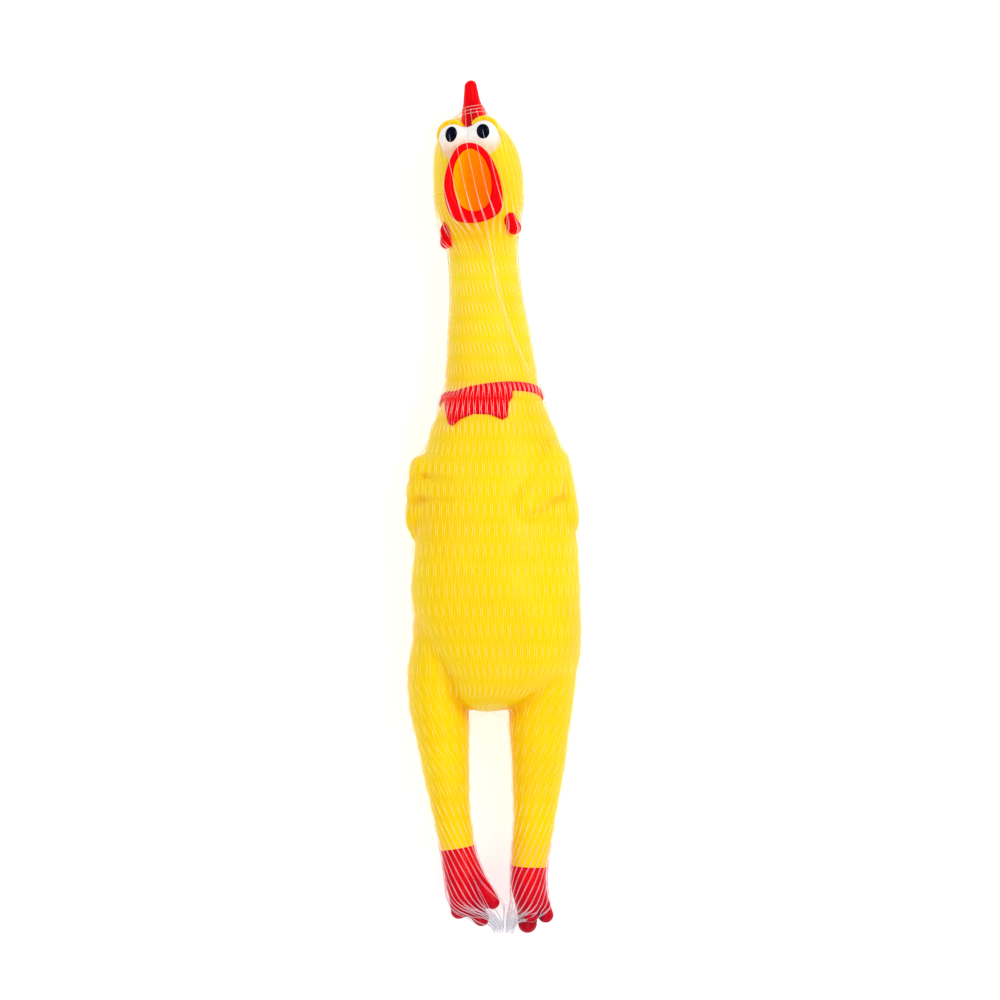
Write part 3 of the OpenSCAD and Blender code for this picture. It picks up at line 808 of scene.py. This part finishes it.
# Each cut is a field, and a test for the places where it cuts.
HEAD_CUT = (lambda p: along_neck(p) - HEAD_TURN[1], None)
NECK_CUTS = [
    (lambda p: p[1] - NECK_SIDE[0], None), (lambda p: p[1] - NECK_FRONT[0], None),
    (lambda p: along_neck(p) - HEAD_TURN[0], None), HEAD_CUT]
HIP_CUTS = [
    (lambda p, s=s, at=at: past_hip(p, s) - at, lambda p, s=s: on_side(s, p) & (p[1] < HIPS_Y))
    for s in SIDES for at in HIP]
LEG_CUTS = HIP_CUTS + [(lambda p: p[1] - KNEE[1], lambda p: p[1] < LEGS_Y)] + [
    (lambda p, s=s: past_paint(p, s), lambda p, s=s: on_side(s, p) & (p[1] < LEGS_Y)) for s in SIDES]


def part_of(p, only_side=None):
    """The name of the stretch of skin that each point belongs to."""
    out = np.full(len(p[0]), "torso", dtype=object)
    out[p[1] > NECK_SIDE[0]] = "neck_lower"
    out[p[1] > NECK_FRONT[0]] = "neck_middle"
    near_top = p[1] > 80
    out[near_top & (along_neck(p) > HEAD_TURN[0])] = "neck_top"
    out[near_top & (along_neck(p) > HEAD_TURN[1])] = "head"
    for side in [only_side] if only_side else SIDES:
        here = (on_side(side, p) | (only_side == side)) & (p[1] < HIPS_Y)
        out[here & (past_hip(p, side) > HIP[0])] = side + "_hip"
        out[here & (past_hip(p, side) > HIP[1])] = side + "_leg"
        out[here & (p[1] < KNEE[1])] = side + "_ankle"
        out[here & (p[1] < LEGS_Y) & (past_paint(p, side) > 0)] = side + "_foot"
    return out


def at_row(p):
    """A point of the modelling frame, in millimetres, in the part's frame, in metres."""
    return tuple(((np.array(p, float) + SHIFT) * MM).tolist())


ORIGIN, ALONG, OUT = np.zeros(3), np.array([0, 1, 0]), np.array([0, 0, 1])
# For each stretch of skin: the CAD nodes that it stands for, and its bend. That is two CAD bodies,
# a place, the way from one body to the other, and how far along it the bend begins and ends.
STRETCHES = {
    "torso": (
        ("torso_skin", "belly_skin", "belly_flex", "left_wing", "right_wing"),
        ("torso", "belly", ORIGIN, OUT, BELLY_PRESS)),
    "neck_lower": (("neck_root_flex", "lower_neck_skin"), ("torso", "lower_neck", ORIGIN, ALONG, NECK_SIDE)),
    "neck_middle": (("neck_middle_flex", "upper_neck_skin"), ("lower_neck", "upper_neck", ORIGIN, ALONG, NECK_FRONT)),
    "neck_top": (("neck_top_flex",), ("upper_neck", "head", NECK_AXIS_AT, NECK_AXIS, HEAD_TURN))}
for s in SIDES:
    thigh, shank, foot_name = s + "_thigh", s + "_shank", s + "_foot"
    STRETCHES[s + "_hip"] = ((s + "_hip_flex",), ("torso", thigh, CROTCH[s], HIP_DIR[s], HIP))
    STRETCHES[s + "_leg"] = ((thigh + "_skin", s + "_knee_flex", shank + "_skin"), (thigh, shank, ORIGIN, ALONG, KNEE))
    STRETCHES[s + "_ankle"] = ((s + "_ankle_flex",), (shank, foot_name, ORIGIN, ALONG, ANKLE))
    STRETCHES[foot_name] = ((foot_name,), (shank, foot_name, ORIGIN, ALONG, ANKLE))


def attach(obj, part):
    """Makes a piece move with the CAD bodies under that stretch of skin."""
    if part == "head":
        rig.ride(obj, "head")
    else:
        one, other, at, way, bend = STRETCHES[part][1]
        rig.blend(obj, one, other, *(at_row(at + way * a) for a in bend))


def register(obj, part, *nodes):
    """Attaches a piece that stands for these CAD nodes. Blender may add a number to its paint's name."""
    attach(obj, part)
    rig.replaces(obj, *nodes)
    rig.slot(obj, obj.data.materials[0].name.split(".")[0])


# -------- materials

class Paint:
    """A node material. Places come from the mesh's "rest" attribute, in millimetres."""

    def __init__(self, name, colour, roughness=0.35, specular=0.5):
        self.material = bpy.data.materials.new(name)
        self.material.use_nodes = True
        self.tree = self.material.node_tree
        self.shader = self.tree.nodes["Principled BSDF"]
        self.shader.inputs["Roughness"].default_value = roughness
        self.shader.inputs["Specular IOR Level"].default_value = specular
        self.colour = self.node("ShaderNodeRGB").outputs[0]
        self.colour.default_value = (*colour, 1)
        self.place = self.attribute("rest", "Vector")

    def node(self, kind, **inputs):
        n = self.tree.nodes.new(kind)
        for key, value in inputs.items():
            socket = n.inputs[key.replace("_", " ")]
            if isinstance(value, bpy.types.NodeSocket):
                self.tree.links.new(value, socket)
            else:
                socket.default_value = value
        return n

    def feed(self, output, name):
        self.tree.links.new(output, self.shader.inputs[name])

    def attribute(self, name, output="Fac"):
        n = self.node("ShaderNodeAttribute")
        n.attribute_name = name
        return n.outputs[output]

    def in_object(self):
        """Takes places from the object's own frame instead."""
        coords = self.node("ShaderNodeTexCoord").outputs["Object"]
        n = self.node("ShaderNodeVectorMath", Vector=coords)
        n.operation = "SCALE"
        n.inputs["Scale"].default_value = 1 / MM
        self.place = n.outputs[0]
        return self

    def ramp(self, value, low, high, to_low=0.0, to_high=1.0):
        n = self.node(
            "ShaderNodeMapRange", Value=value, From_Min=low, From_Max=high, To_Min=to_low, To_Max=to_high)
        return n.outputs[0]

    def noise(self, size, detail=2.0):
        """Cloudy values about 0.5, with features of that size in millimetres."""
        return self.node("ShaderNodeTexNoise", Vector=self.place, Scale=1.0 / size, Detail=detail).outputs["Fac"]

    def along(self, axis, low, high, most=1.0):
        """A ramp from 0 along x, y or z of the places."""
        parts = self.node("ShaderNodeSeparateXYZ", Vector=self.place)
        return self.ramp(parts.outputs[axis], low, high, 0, most)

    def tint_of(self, factor, a, b):
        """The colour a where the factor is 0, and b where it is 1."""
        n = self.node("ShaderNodeMix")
        n.data_type = "RGBA"
        self.tree.links.new(factor, n.inputs[0])
        for socket, colour in ((n.inputs[6], a), (n.inputs[7], b)):
            if isinstance(colour, bpy.types.NodeSocket):
                self.tree.links.new(colour, socket)
            else:
                socket.default_value = (*colour, 1)
        return n.outputs[2]

    def tint(self, factor, colour):
        self.colour = self.tint_of(factor, self.colour, colour)

    def cloud(self, size, low, high, most, colour):
        """Patches of another colour, about that size."""
        self.tint(self.ramp(self.noise(size), low, high, 0, most), colour)

    def shade(self, name, low, high, most, colour):
        """Painted shade: another colour where the mesh's attribute is high, as in creases and folds."""
        self.tint(self.ramp(self.attribute(name), low, high, 0, most), colour)

    def glow(self, colour, strength):
        self.shader.inputs["Emission Color"].default_value = (*colour, 1)
        self.shader.inputs["Emission Strength"].default_value = strength

    def done(self, rough=None, *bumps):
        """rough is the size, lowest and highest of its patches. A bump is a noise's size, detail
        and height."""
        if rough:
            self.feed(self.ramp(self.noise(rough[0]), 0.3, 0.7, *rough[1:]), "Roughness")
        under = {}
        for size, detail, height in bumps:
            n = self.node("ShaderNodeBump", Height=self.noise(size, detail), Distance=height * MM, **under)
            under = {"Normal": n.outputs[0]}
        if under:
            self.feed(under["Normal"], "Normal")
        self.feed(self.colour, "Base Color")
        return self.material


def vinyl():
    m = Paint("yellow_vinyl", (1, 0.7, 0), specular=0.1)
    m.tint(m.along("Y", 44, 70, 0.5), (1, 0.8, 0))
    m.cloud(26, 0.35, 0.75, 0.6, (1, 0.58, 0))
    # Painted shade: deeper orange in wide folds, and deeper still in creases.
    m.shade("fold", 0, 1, 0.55, (1, 0.42, 0))
    m.shade("crease", 0.05, 1, 0.75, (0.94, 0.36, 0))
    white = m.tint_of(m.along("Y", 136, 129), (0.95, 0.93, 0.9), (0.98, 0.62, 0.34))
    m.tint(m.attribute("white"), white)
    return m.done((3, 0.3, 0.42), (9, 1, 0.5), (0.9, 3, 0.05))


def red_paint():
    m = Paint("red_paint", (0.96, 0, 0.003), specular=0.04)
    m.cloud(5, 0.4, 0.8, 0.5, (0.78, 0, 0.006))
    # Painted shade: darker red in creases.
    m.shade("crease", 0.05, 0.8, 0.9, (0.351, 0, 0.0027))
    return m.done((2, 0.26, 0.42), (2.2, 2, 0.12), (0.5, 2, 0.03))


def foot_paint():
    m = Paint("foot_red_paint", (0.8, 0, 0.004), specular=0.08)
    m.tint(m.along("Y", -134, -152), (0.46, 0, 0.016))
    m.cloud(6, 0.45, 0.75, 0.6, (0.5, 0.002, 0.02))
    # Painted shade: darker red in creases.
    m.shade("crease", 0.05, 0.8, 0.9, (0.22, 0, 0.02))
    return m.done((2, 0.24, 0.4), (2.5, 2, 0.15))


def lining_paint():
    m = Paint("orange_paint", (1, 0.58, 0), roughness=0.45, specular=0.06)
    # Painted shade: redder and darker towards the right side of the mouth's hollow, where it lies in shade.
    m.tint(m.along("X", -12, -2), (1, 0.22, 0))
    m.cloud(3, 0.4, 0.8, 0.4, (1, 0.28, 0))
    # Painted light: a faint orange glow, for light that comes through the vinyl.
    m.glow((1, 0.3, 0), 0.15)
    return m.done(None, (1.5, 2, 0.08))


def eye_paint():
    m = Paint("white_paint", (0.95, 0.94, 0.92))
    m.tint(m.along("Y", 135, 128, 0.8), (0.98, 0.66, 0.4))
    m.cloud(4, 0.5, 0.9, 0.3, (0.9, 0.84, 0.76))
    return m.done((1.5, 0.14, 0.26), (1.2, 2, 0.02))


def pupil_paint():
    m = Paint("black_paint", (0.001, 0.002, 0.012), specular=0.05)
    m.cloud(2, 0.4, 0.8, 0.6, (0.002, 0.004, 0.02))
    return m.done((1, 0.12, 0.2), (1, 2, 0.02))


def net_plastic():
    """Clear plastic, painted with the light that comes through it: yellow where it lies on yellow, pink over the feet,
    and grey shade in the tail.
    """
    # Painted light: the clear strands take the yellow of the skin under them, and white near the painted parts.
    m = Paint("net_plastic", (1, 0.9, 0.26), roughness=0.25, specular=0.6)
    m.tint(m.attribute("clear"), (1, 0.98, 0.93))
    m.cloud(8, 0.4, 0.8, 0.3, (1, 0.96, 0.8))
    # Painted light: pink where the red feet show through.
    m.tint(m.along("Y", -116, -128), (1, 0.4, 0.56))
    # Painted shade: grey where the net is gathered in the tail.
    m.tint(m.along("Y", -140, -149), (0.66, 0.66, 0.8))
    # Painted light: a faint glow that brightens the strands, though the net is no lamp.
    m.glow((1, 0.95, 0.75), 0.14)
    m.feed(m.attribute("strength"), "Alpha")
    return m.done(None, (0.4, 2, 0.02))


def cad_plastic(name, colour, other, size, roughness=0.35):
    m = Paint(name, colour, roughness=roughness).in_object()
    m.cloud(size, 0.35, 0.7, 0.7, other)
    return m.done((size / 2, roughness - 0.08, roughness + 0.1), (size / 3, 3, 0.04))


def table_top():
    m = Paint("pale_table", (0.46, 0.46, 0.46), roughness=0.6, specular=0.1).in_object()
    m.cloud(60, 0.3, 0.7, 0.4, (0.45, 0.45, 0.45))
    m.glow((1, 1, 1), 0.69)
    return m.done()


yellow = vinyl()
red = red_paint()
foot_red = foot_paint()
clear = net_plastic()


# -------- the chicken's skin

# The sizes of the skins' cells.
TORSO_STEP, LEG_STEP, HEAD_STEP = (0.9, 0.6, 0.45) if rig.quick() else (0.75, 0.5, 0.38)
TORSO_PARTS = ("torso", "neck_lower", "neck_middle", "neck_top", "left_hip", "right_hip")
SKIN_BLOCKS = [
    (torso_skin, (-35, -92, -1.2), (38, 102, 48), TORSO_STEP, TORSO_PARTS),
    (leg_skin("left"), (-36, -156, -1.2), (4.5, -68, 34), LEG_STEP, ("left_leg", "left_ankle", "left_foot")),
    (leg_skin("right"), (-5, -158, -1.2), (36, -68, 34), LEG_STEP, ("right_leg", "right_ankle", "right_foot"))]
# How far out of the face the mouth's opening begins.
MOUTH_FRONT = 16


def build_skins():
    for field, low, high, step, parts in SKIN_BLOCKS:
        v, t = surface(field, low, high, step)
        v, t = cut_all(v, t, NECK_CUTS + LEG_CUTS)
        side = parts[0].split("_")[0]
        names = part_of(v[t].mean(1).T, side if side in SIDES else None)
        for part in parts:
            material = foot_red if part.endswith("foot") else yellow
            register(skin_object("skin_" + part, v, t[names == part], field, material), part, *STRETCHES[part][0])


def in_mouth(p):
    """Negative inside the opening in the front of the snout."""
    u, v, _ = round_mouth(p)
    return np.sqrt((u / 7.8) ** 2 + (v / 11.8) ** 2) * 9 - 9


def on_each_side(*rows):
    """Rows for build_moulded, from a name, a field, the box's middle and half width in u, and its v and w."""
    return [
        (side + "_" + name, lambda p, f=field, side=side: f(p, side),
         (sign * middle - half, *low), (sign * middle + half, *high), step, material)
        for sign, side in zip((-1, 1), SIDES)
        for name, field, middle, half, low, high, step, material in rows]


def build_head():
    v, t = surface(head_skin, (-26, 90, -1.2), (15, 146, 40), HEAD_STEP)
    v, t = cut_all(v, t, [HEAD_CUT, (in_mouth, lambda p: in_head(p)[2] > MOUTH_FRONT)])
    centre = v[t].mean(1).T
    keep = (part_of(centre) == "head") & ~((in_mouth(centre) < 0) & (in_head(centre)[2] > MOUTH_FRONT))
    register(skin_object("skin_head", v, t[keep], head_skin, yellow), "head", "head_skin")


def build_moulded():
    white, black = eye_paint(), pupil_paint()
    on_head = [
        ("comb", comb, (-4, 15, -15), (6, 38, 13), 0.4, red),
        ("lips", lips, (-13, -17, 15), (13, 17, 23), 0.35, red),
        ("mouth_lining", lining, (-11, -18, -8), (11, 14, 20), 0.4, lining_paint()),
        *on_each_side(("wattle", wattle, 12.0, 5, (-26, 1), (-8, 12), 0.35, red)),
        *on_each_side(
            ("eye", eye, EYE_AT[0], 7.5, (7, 5), (24, 18), 0.35, white),
            ("pupil", pupil, EYE_AT[0], 3, (14, 14), (22, 18), 0.22, black))]
    for name, field, low, high, step, material in on_head:
        obj = solid_object("moulded_" + name, field, *head_block(low, high), step, material)
        register(obj, "head", name)
    for name, field, low, high in (
            ("neck_band", band, (-28, 30, -1), (18, 52, 40)), ("bow", bow, (-21, 27, 15), (6, 48, 42))):
        register(solid_object("moulded_" + name, field, low, high, 0.4, red), "torso", name)


build_skins()
build_head()
build_moulded()

# -------- the net sleeve

# The height of a row, and the spacing of the points along a strand.
NET_ROW = 7.25
NET_STEP = NET_ROW / 4
# How thick the strands are, down by the toes and up by the head.
NET_R = (0.17, 0.12)
# How far the middle of a strand stays off the skin.
NET_CLEAR = 0.4
# How opaque the strands are: y, then opacity.
NET_STRENGTH = ((-150, -143, -122, -95, 40, 92, 104), (0.60, 0.34, 0.19, 0.18, 0.21, 0.21, 0.24))
# How much the rows show as bands: y, then the swing in opacity.
NET_BANDS = ((-128, -112, 98, 108), (0.5, 1.3, 1.3, 0.5))
# How many steps of hollow the net bridges, on the trunk, the face and the legs.
TRUNK_BRIDGE, FACE_BRIDGE, LEG_BRIDGE = 3, 9, 2
# How far out strands are cast from, the nearest that they come in, and in how many rounds.
CAST_FROM, CAST_TO, CAST_ROUNDS = 42.0, 0.5, 44
TRUNK_STRANDS = 108
LEG_STRANDS = 40
# Between these lines the strands bunch in threes, so that the face shows.
BUNCH_Y, FACE_Y = 84.0, 114.0
# The long strands end here, under the turns round the foot of the comb.
COMB_TIE_Y = 144.5
# The long fold of the net down the neck: y, then degrees round the trunk.
NECK_FOLD = ((49.9, 63.3, 74.0, 84.0, 96.6), (33.0, 53.0, 66.0, 72.5, 77.6))
# Where the net is gathered, between the feet.
TAIL_AT = np.array([3.4, -151.4, 7.0])
# The turns round the foot of the comb: v at the middle, and its rise to the side.
TIES = ((24.2, 0.7), (25.4, 1.1), (26.6, 0.9))
# Under the belly the two legs' nets begin, and their lowest full rows.
LEG_TOP_Y = -52
LEG_LOW_ROW = {"left": -19.25, "right": -19.5}


def whole_front(p):
    """Everything that the trunk's net goes over."""
    pairs = [f(p, side) for f in (eye, wattle) for side in SIDES]
    return np.minimum.reduce([torso_skin(p), head_skin(p), comb(p), lips(p), band(p), bow(p), *pairs])


def zigzag(y):
    """A wave between -1 and 1 that turns once in each row of the net."""
    return 1 - 2 * np.abs((y / NET_ROW) % 2 - 1)


def spread(values, reach, pick):
    """The highest or lowest of each value's neighbours along the last axis."""
    padded = np.pad(values, ((0, 0), (reach, reach)), mode="edge")
    return pick([padded[:, k:k + values.shape[1]] for k in range(2 * reach + 1)], axis=0)


def bridged(reach, steps):
    """Pulls each strand straight over hollows shorter than twice that many steps."""
    out = spread(spread(reach, steps, np.max), steps, np.min)
    return (np.roll(out, 1, 0) + 2 * out + np.roll(out, -1, 0)) / 4


def strands(loft, field, ys, angle, bridge, face=False):
    """Lines that lie round a loft at these angles. Over the face they are pulled tighter, and
    cast further up than they are kept, so that they close in on the comb."""
    kept = len(ys)
    if face:
        ys = np.append(ys, ys[-1] + NET_STEP * np.arange(1, FACE_BRIDGE + 1))
        angle = np.pad(angle, ((0, 0), (0, FACE_BRIDGE)), mode="edge")
    (cx, _), (cz, _), _, _ = loft.sections(ys)
    away = np.stack([np.cos(angle), 0 * angle, np.sin(angle)], -1)
    centre = np.stack([np.broadcast_to(a, angle.shape) for a in (cx, ys, cz)], -1)
    reach = np.full(angle.shape, CAST_FROM)
    for _ in range(CAST_ROUNDS):
        at = centre + away * reach[..., None]
        value = field(at.reshape(-1, 3).T).reshape(angle.shape) - NET_CLEAR
        reach = np.maximum(reach - np.clip(0.8 * value, -0.5, 4.0), CAST_TO)
    closed = bridged(reach, bridge)
    if face:
        tight = fade(ys, 93, 103) * fade(np.sin(angle), 0.1, 0.5)
        closed = closed + (bridged(reach, FACE_BRIDGE) - closed) * tight
    for _ in range(2):
        padded = np.pad(closed, ((0, 0), (1, 1)), mode="edge")
        closed = np.maximum((padded[:, :-2] + 2 * closed + padded[:, 2:]) / 4, reach)
    return (centre + away * closed[..., None])[:, :kept], away[:, :kept]


def push_out(field, v, rounds=10):
    """Moves points that are too near the surface away from it."""
    for _ in range(rounds):
        g, value = gradient(field, v)
        v = v + g * np.clip(NET_CLEAR - value, 0, 0.7)[:, None]
    return v


def gathered(lines, away, field, count=14):
    """Carries each strand on from its low end, round the toes, to the knot of the net."""
    start = lines[:, :1]
    ahead = unit(start - lines[:, 2:3])
    fan = (np.arange(len(lines)) * 7 % 11)[:, None, None] / 10.0
    end = TAIL_AT + (start - TAIL_AT) * (0.18, 0, 0.3) - fan * (0, 3.4, 0)
    t = np.linspace(1, 0, count, endpoint=False)[None, :, None]
    near = end + (start - end) * (0.12, 0.0, 0.2) + (0, 7.5, 0)
    curve = ((1 - t) ** 3 * start + 3 * (1 - t) ** 2 * t * (start + 9.5 * ahead)
             + 3 * (1 - t) * t * t * near + t ** 3 * end)
    curve = push_out(field, curve.reshape(-1, 3)).reshape(curve.shape)
    smooth = curve.copy()
    smooth[:, 1:-1] = (curve[:, :-2] + 2 * curve[:, 1:-1] + curve[:, 2:]) / 4
    curve = push_out(field, smooth.reshape(-1, 3), 3).reshape(curve.shape)
    outward = normals_of(field, curve.reshape(-1, 3)).reshape(curve.shape)
    return np.concatenate([curve, lines], 1), np.concatenate([outward, away], 1)


def comb_ties():
    """The turns of the net round the foot of the comb."""
    turn = np.linspace(0, 2 * math.pi, 61)[None, :]
    level, lean = np.array(TIES).T[..., None]
    u, w = np.cos(turn) + 0 * level, np.sin(turn) + 0 * level
    reach = np.full(u.shape, 16.0)

    def place(r):
        return from_head(2.0 + r * u, level + lean * u, -1.5 + r * w)

    for _ in range(CAST_ROUNDS):
        value = comb(place(reach).reshape(-1, 3).T).reshape(u.shape) - 0.25
        reach = np.maximum(reach - np.clip(0.8 * value, -0.5, 2.0), CAST_TO)
    lines = place(reach)
    return lines, lines - place(reach * 0.9)


def tubes(lines, outward, radius, sides=4):
    """Thin rods along strands of points, with the outward direction and the radius at each point."""
    along = unit(np.gradient(lines, axis=1))
    across = unit(np.cross(along, outward))
    up = np.cross(across, along)
    turn = np.arange(sides) * 2 * math.pi / sides
    ring = across[..., None, :] * np.cos(turn)[:, None] + up[..., None, :] * np.sin(turn)[:, None]
    v = (lines[..., None, :] + radius[..., None, None] * ring).reshape(-1, 3)
    count, length = lines.shape[:2]
    index = np.arange(count * length * sides).reshape(count, length, sides)
    a, b = index[:, :-1], index[:, 1:]
    a2, b2 = np.roll(a, -1, 2), np.roll(b, -1, 2)
    t = [np.stack([a, a2, b2, a, b2, b], -1).reshape(-1, 3)]
    for k in range(1, sides - 1):
        t += [index[:, 0, [0, k + 1, k]], index[:, -1, [0, k, k + 1]]]
    return v, np.concatenate(t)


def on_fold(p):
    """1 along the fold down the neck."""
    (cx, _), (cz, _), _, _ = trunk_loft.sections(p[1])
    off = np.arctan2(p[2] - cz, p[0] - cx) - np.radians(np.interp(p[1], *NECK_FOLD))
    return np.exp(-(off / 0.07) ** 2) * fade(p[1], 47, 51) * fade(p[1], 103, 99)


def painted(p):
    """How far points are from the nearest part that isn't yellow."""
    pairs = [f(p, side) - nearer for f, nearer in ((eye, 1.5), (wattle, 0)) for side in SIDES]
    d = np.minimum.reduce([bow(p), band(p), lips(p), comb(p), pocket(p), *pairs])
    for side in SIDES:
        d = np.where((p[1] < LEGS_Y) & on_side(side, p), 1.5 - past_paint(p, side), d)
    return d


def opacity(p):
    """How opaque the strands are: more at each row's knots and along the fold of the neck."""
    bands = 0.8 + np.interp(p[1], *NET_BANDS) * (ease(np.abs(zigzag(p[1]))) - 0.5)
    return np.interp(p[1], *NET_STRENGTH) * bands + 0.32 * on_fold(p)


def net_pieces(lines, outward, cuts, parts, only_side=None, tag=""):
    """Cuts a net along the same lines as the skin, and bends each stretch with the skin under it."""
    radius = np.interp(lines[..., 1], (-125, -95), NET_R)
    v, t = cut_all(*tubes(lines, outward, radius), cuts)
    names = part_of(v[t].mean(1).T, only_side)
    for part in parts:
        mine = t[names == part]
        if len(mine):
            points, faces = compact(v, mine)
            # Where the strands' painted light turns from the skin's yellow to white.
            off_yellow = np.clip(2.8 - painted(points.T), 0, 1)
            obj = mesh_object(
                "net_" + part + tag, points, faces, None, clear, strength=opacity(points.T), clear=off_yellow)
            attach(obj, part)


def body_net(rows, high, tag):
    """The strands of these numbers over the body, up to the height high."""
    step = 2 * math.pi / TRUNK_STRANDS
    ys = np.append(np.arange(-10 * NET_ROW, high - 0.3 * NET_STEP, NET_STEP), high)
    # The strands lean to the left up the neck, and straighten again over the head.
    up = np.clip(ys - 44, 0, 96)
    lean = 0.0156 * (up - np.clip(up - 56, 0, 40) ** 2 / 80)
    bunch = ease(fade(ys, BUNCH_Y, FACE_Y))
    to_long = (rows + 1) // 3 * 3 - rows
    swing = 0.3 * (1 - bunch) * np.where(rows % 2, -1, 1) * zigzag(ys)
    angle = (rows + 0.5 + bunch * to_long + swing) * step + lean
    fold = np.radians(np.interp(ys, *NECK_FOLD))
    near_fold = np.exp(-((angle - fold) / 0.17) ** 2) * fade(ys, 46, 54) * fade(ys, 101, 93)
    angle = angle + 0.8 * near_fold * (fold - angle)
    lines, away = strands(trunk_loft, whole_front, ys, angle, TRUNK_BRIDGE, True)
    body_parts = ("torso", "neck_lower", "neck_middle", "neck_top", "head")
    net_pieces(lines, away, NECK_CUTS + HIP_CUTS, body_parts, None, tag)


def leg_net(side):
    """The strands down a leg, which run on in pairs over the foot and into the tail."""
    i = np.arange(LEG_STRANDS)[:, None]
    ys = np.arange(LEG_LOW_ROW[side] * NET_ROW, LEG_TOP_Y, NET_STEP)
    down = np.clip(-84 - ys, 0, None)
    lean = (-1 if side == "left" else 1) * (0.024 * np.clip(-56 - ys, 0, 40) + 0.008 * down + 0.0005 * down ** 2)
    paired = fade(ys, -100, -114)
    swing = 0.27 * (1 - paired) * zigzag(ys) + 0.40 * paired
    angle = (i + 0.5 + np.where(i % 2, -1, 1) * swing) * (2 * math.pi / LEG_STRANDS) + lean
    field = leg_skin(side)
    lines, away = gathered(*strands(leg_lofts[side], field, ys, angle, LEG_BRIDGE), field)
    net_pieces(lines, away, LEG_CUTS, tuple(side + end for end in ("_hip", "_leg", "_ankle", "_foot")), side)


def build_net():
    i = np.arange(TRUNK_STRANDS)[:, None]
    body_net(i[i[:, 0] % 3 > 0], FACE_Y, "")
    body_net(i[::3], COMB_TIE_Y, "_long")
    for side in SIDES:
        leg_net(side)
    net_pieces(*comb_ties(), [], ("head",), None, "_ties")


build_net()

# -------- the squeaker, and the rest of the frame

for names, *look in (
        (("throat_sleeve",), "sleeve_vinyl", (1, 0.4, 0), (0.9, 0.3, 0), 3),
        (("squeaker_tube", "squeaker_cap"), "squeaker_plastic", (0.85, 0.84, 0.8), (0.78, 0.77, 0.72), 4),
        (("reed_block", "reed_pin"), "reed_block_plastic", (0.7, 0.72, 0.76), (0.62, 0.64, 0.7), 3),
        (("reed",), "reed_strip", (0.9, 0.78, 0.4), (0.82, 0.7, 0.34), 2, 0.25)):
    material = cad_plastic(*look)
    for name in names:
        node = frame["nodes"][name]
        node.data.materials.clear()
        node.data.materials.append(material)

# -------- studio

# The floor, just under the net.
FLOOR_Z = -0.8
VIEW_MIDDLE = np.array([1.45, 3.4, 20.0])
VIEW_WIDTH = 362.6
CAMERA_UP = 1600.0
SENSOR = 36.0
TABLE_HALF = 2600.0
# Place and size in metres, and power in watts.
LIGHTS = (
    ("key", (0.9, 0.5, 1.3), (0.7, 0.7), 11), ("fill", (-1.0, 0.3, 1.2), (0.9, 0.9), 3.5),
    ("low", (0.1, -1.1, 1.2), (0.9, 0.9), 4.5))
WORLD_LIGHT = 0.58


def floor():
    v = np.array([(x * TABLE_HALF, y * TABLE_HALF, FLOOR_Z) for x, y in ((-1, -1), (1, -1), (1, 1), (-1, 1))])
    obj = mesh_object("floor", v, np.array([[0, 1, 2], [0, 2, 3]]), None, table_top())
    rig.stage(obj)


def area_light(name, at, size, power):
    light = bpy.data.lights.new(name, "AREA")
    light.shape = "RECTANGLE"
    light.size, light.size_y = size
    light.energy = power
    obj = add_object(name, light)
    obj.location = at
    obj.rotation_euler = (Vector(at_row(VIEW_MIDDLE)) - Vector(at)).to_track_quat("-Z", "Y").to_euler()


def studio():
    floor()
    for light in LIGHTS:
        area_light(*light)
    world = bpy.data.worlds.new("studio")
    bpy.context.scene.world = world
    world.use_nodes = True
    sky = world.node_tree.nodes["Background"]
    sky.inputs["Color"].default_value = (1, 1, 1, 1)
    sky.inputs["Strength"].default_value = WORLD_LIGHT
    bpy.context.scene.view_settings.view_transform = "Standard"
    camera = bpy.data.cameras.new("camera")
    camera.sensor_width = SENSOR
    camera.lens = SENSOR * (CAMERA_UP - VIEW_MIDDLE[2]) / VIEW_WIDTH
    camera.clip_end = 10
    obj = add_object("camera", camera)
    obj.location = at_row((VIEW_MIDDLE[0], VIEW_MIDDLE[1], CAMERA_UP))
    bpy.context.scene.camera = obj


studio()

with open("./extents.json", "w") as out:
    json.dump({"cad": cad_box, "visual": [list(corner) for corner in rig.bounds()]}, out)
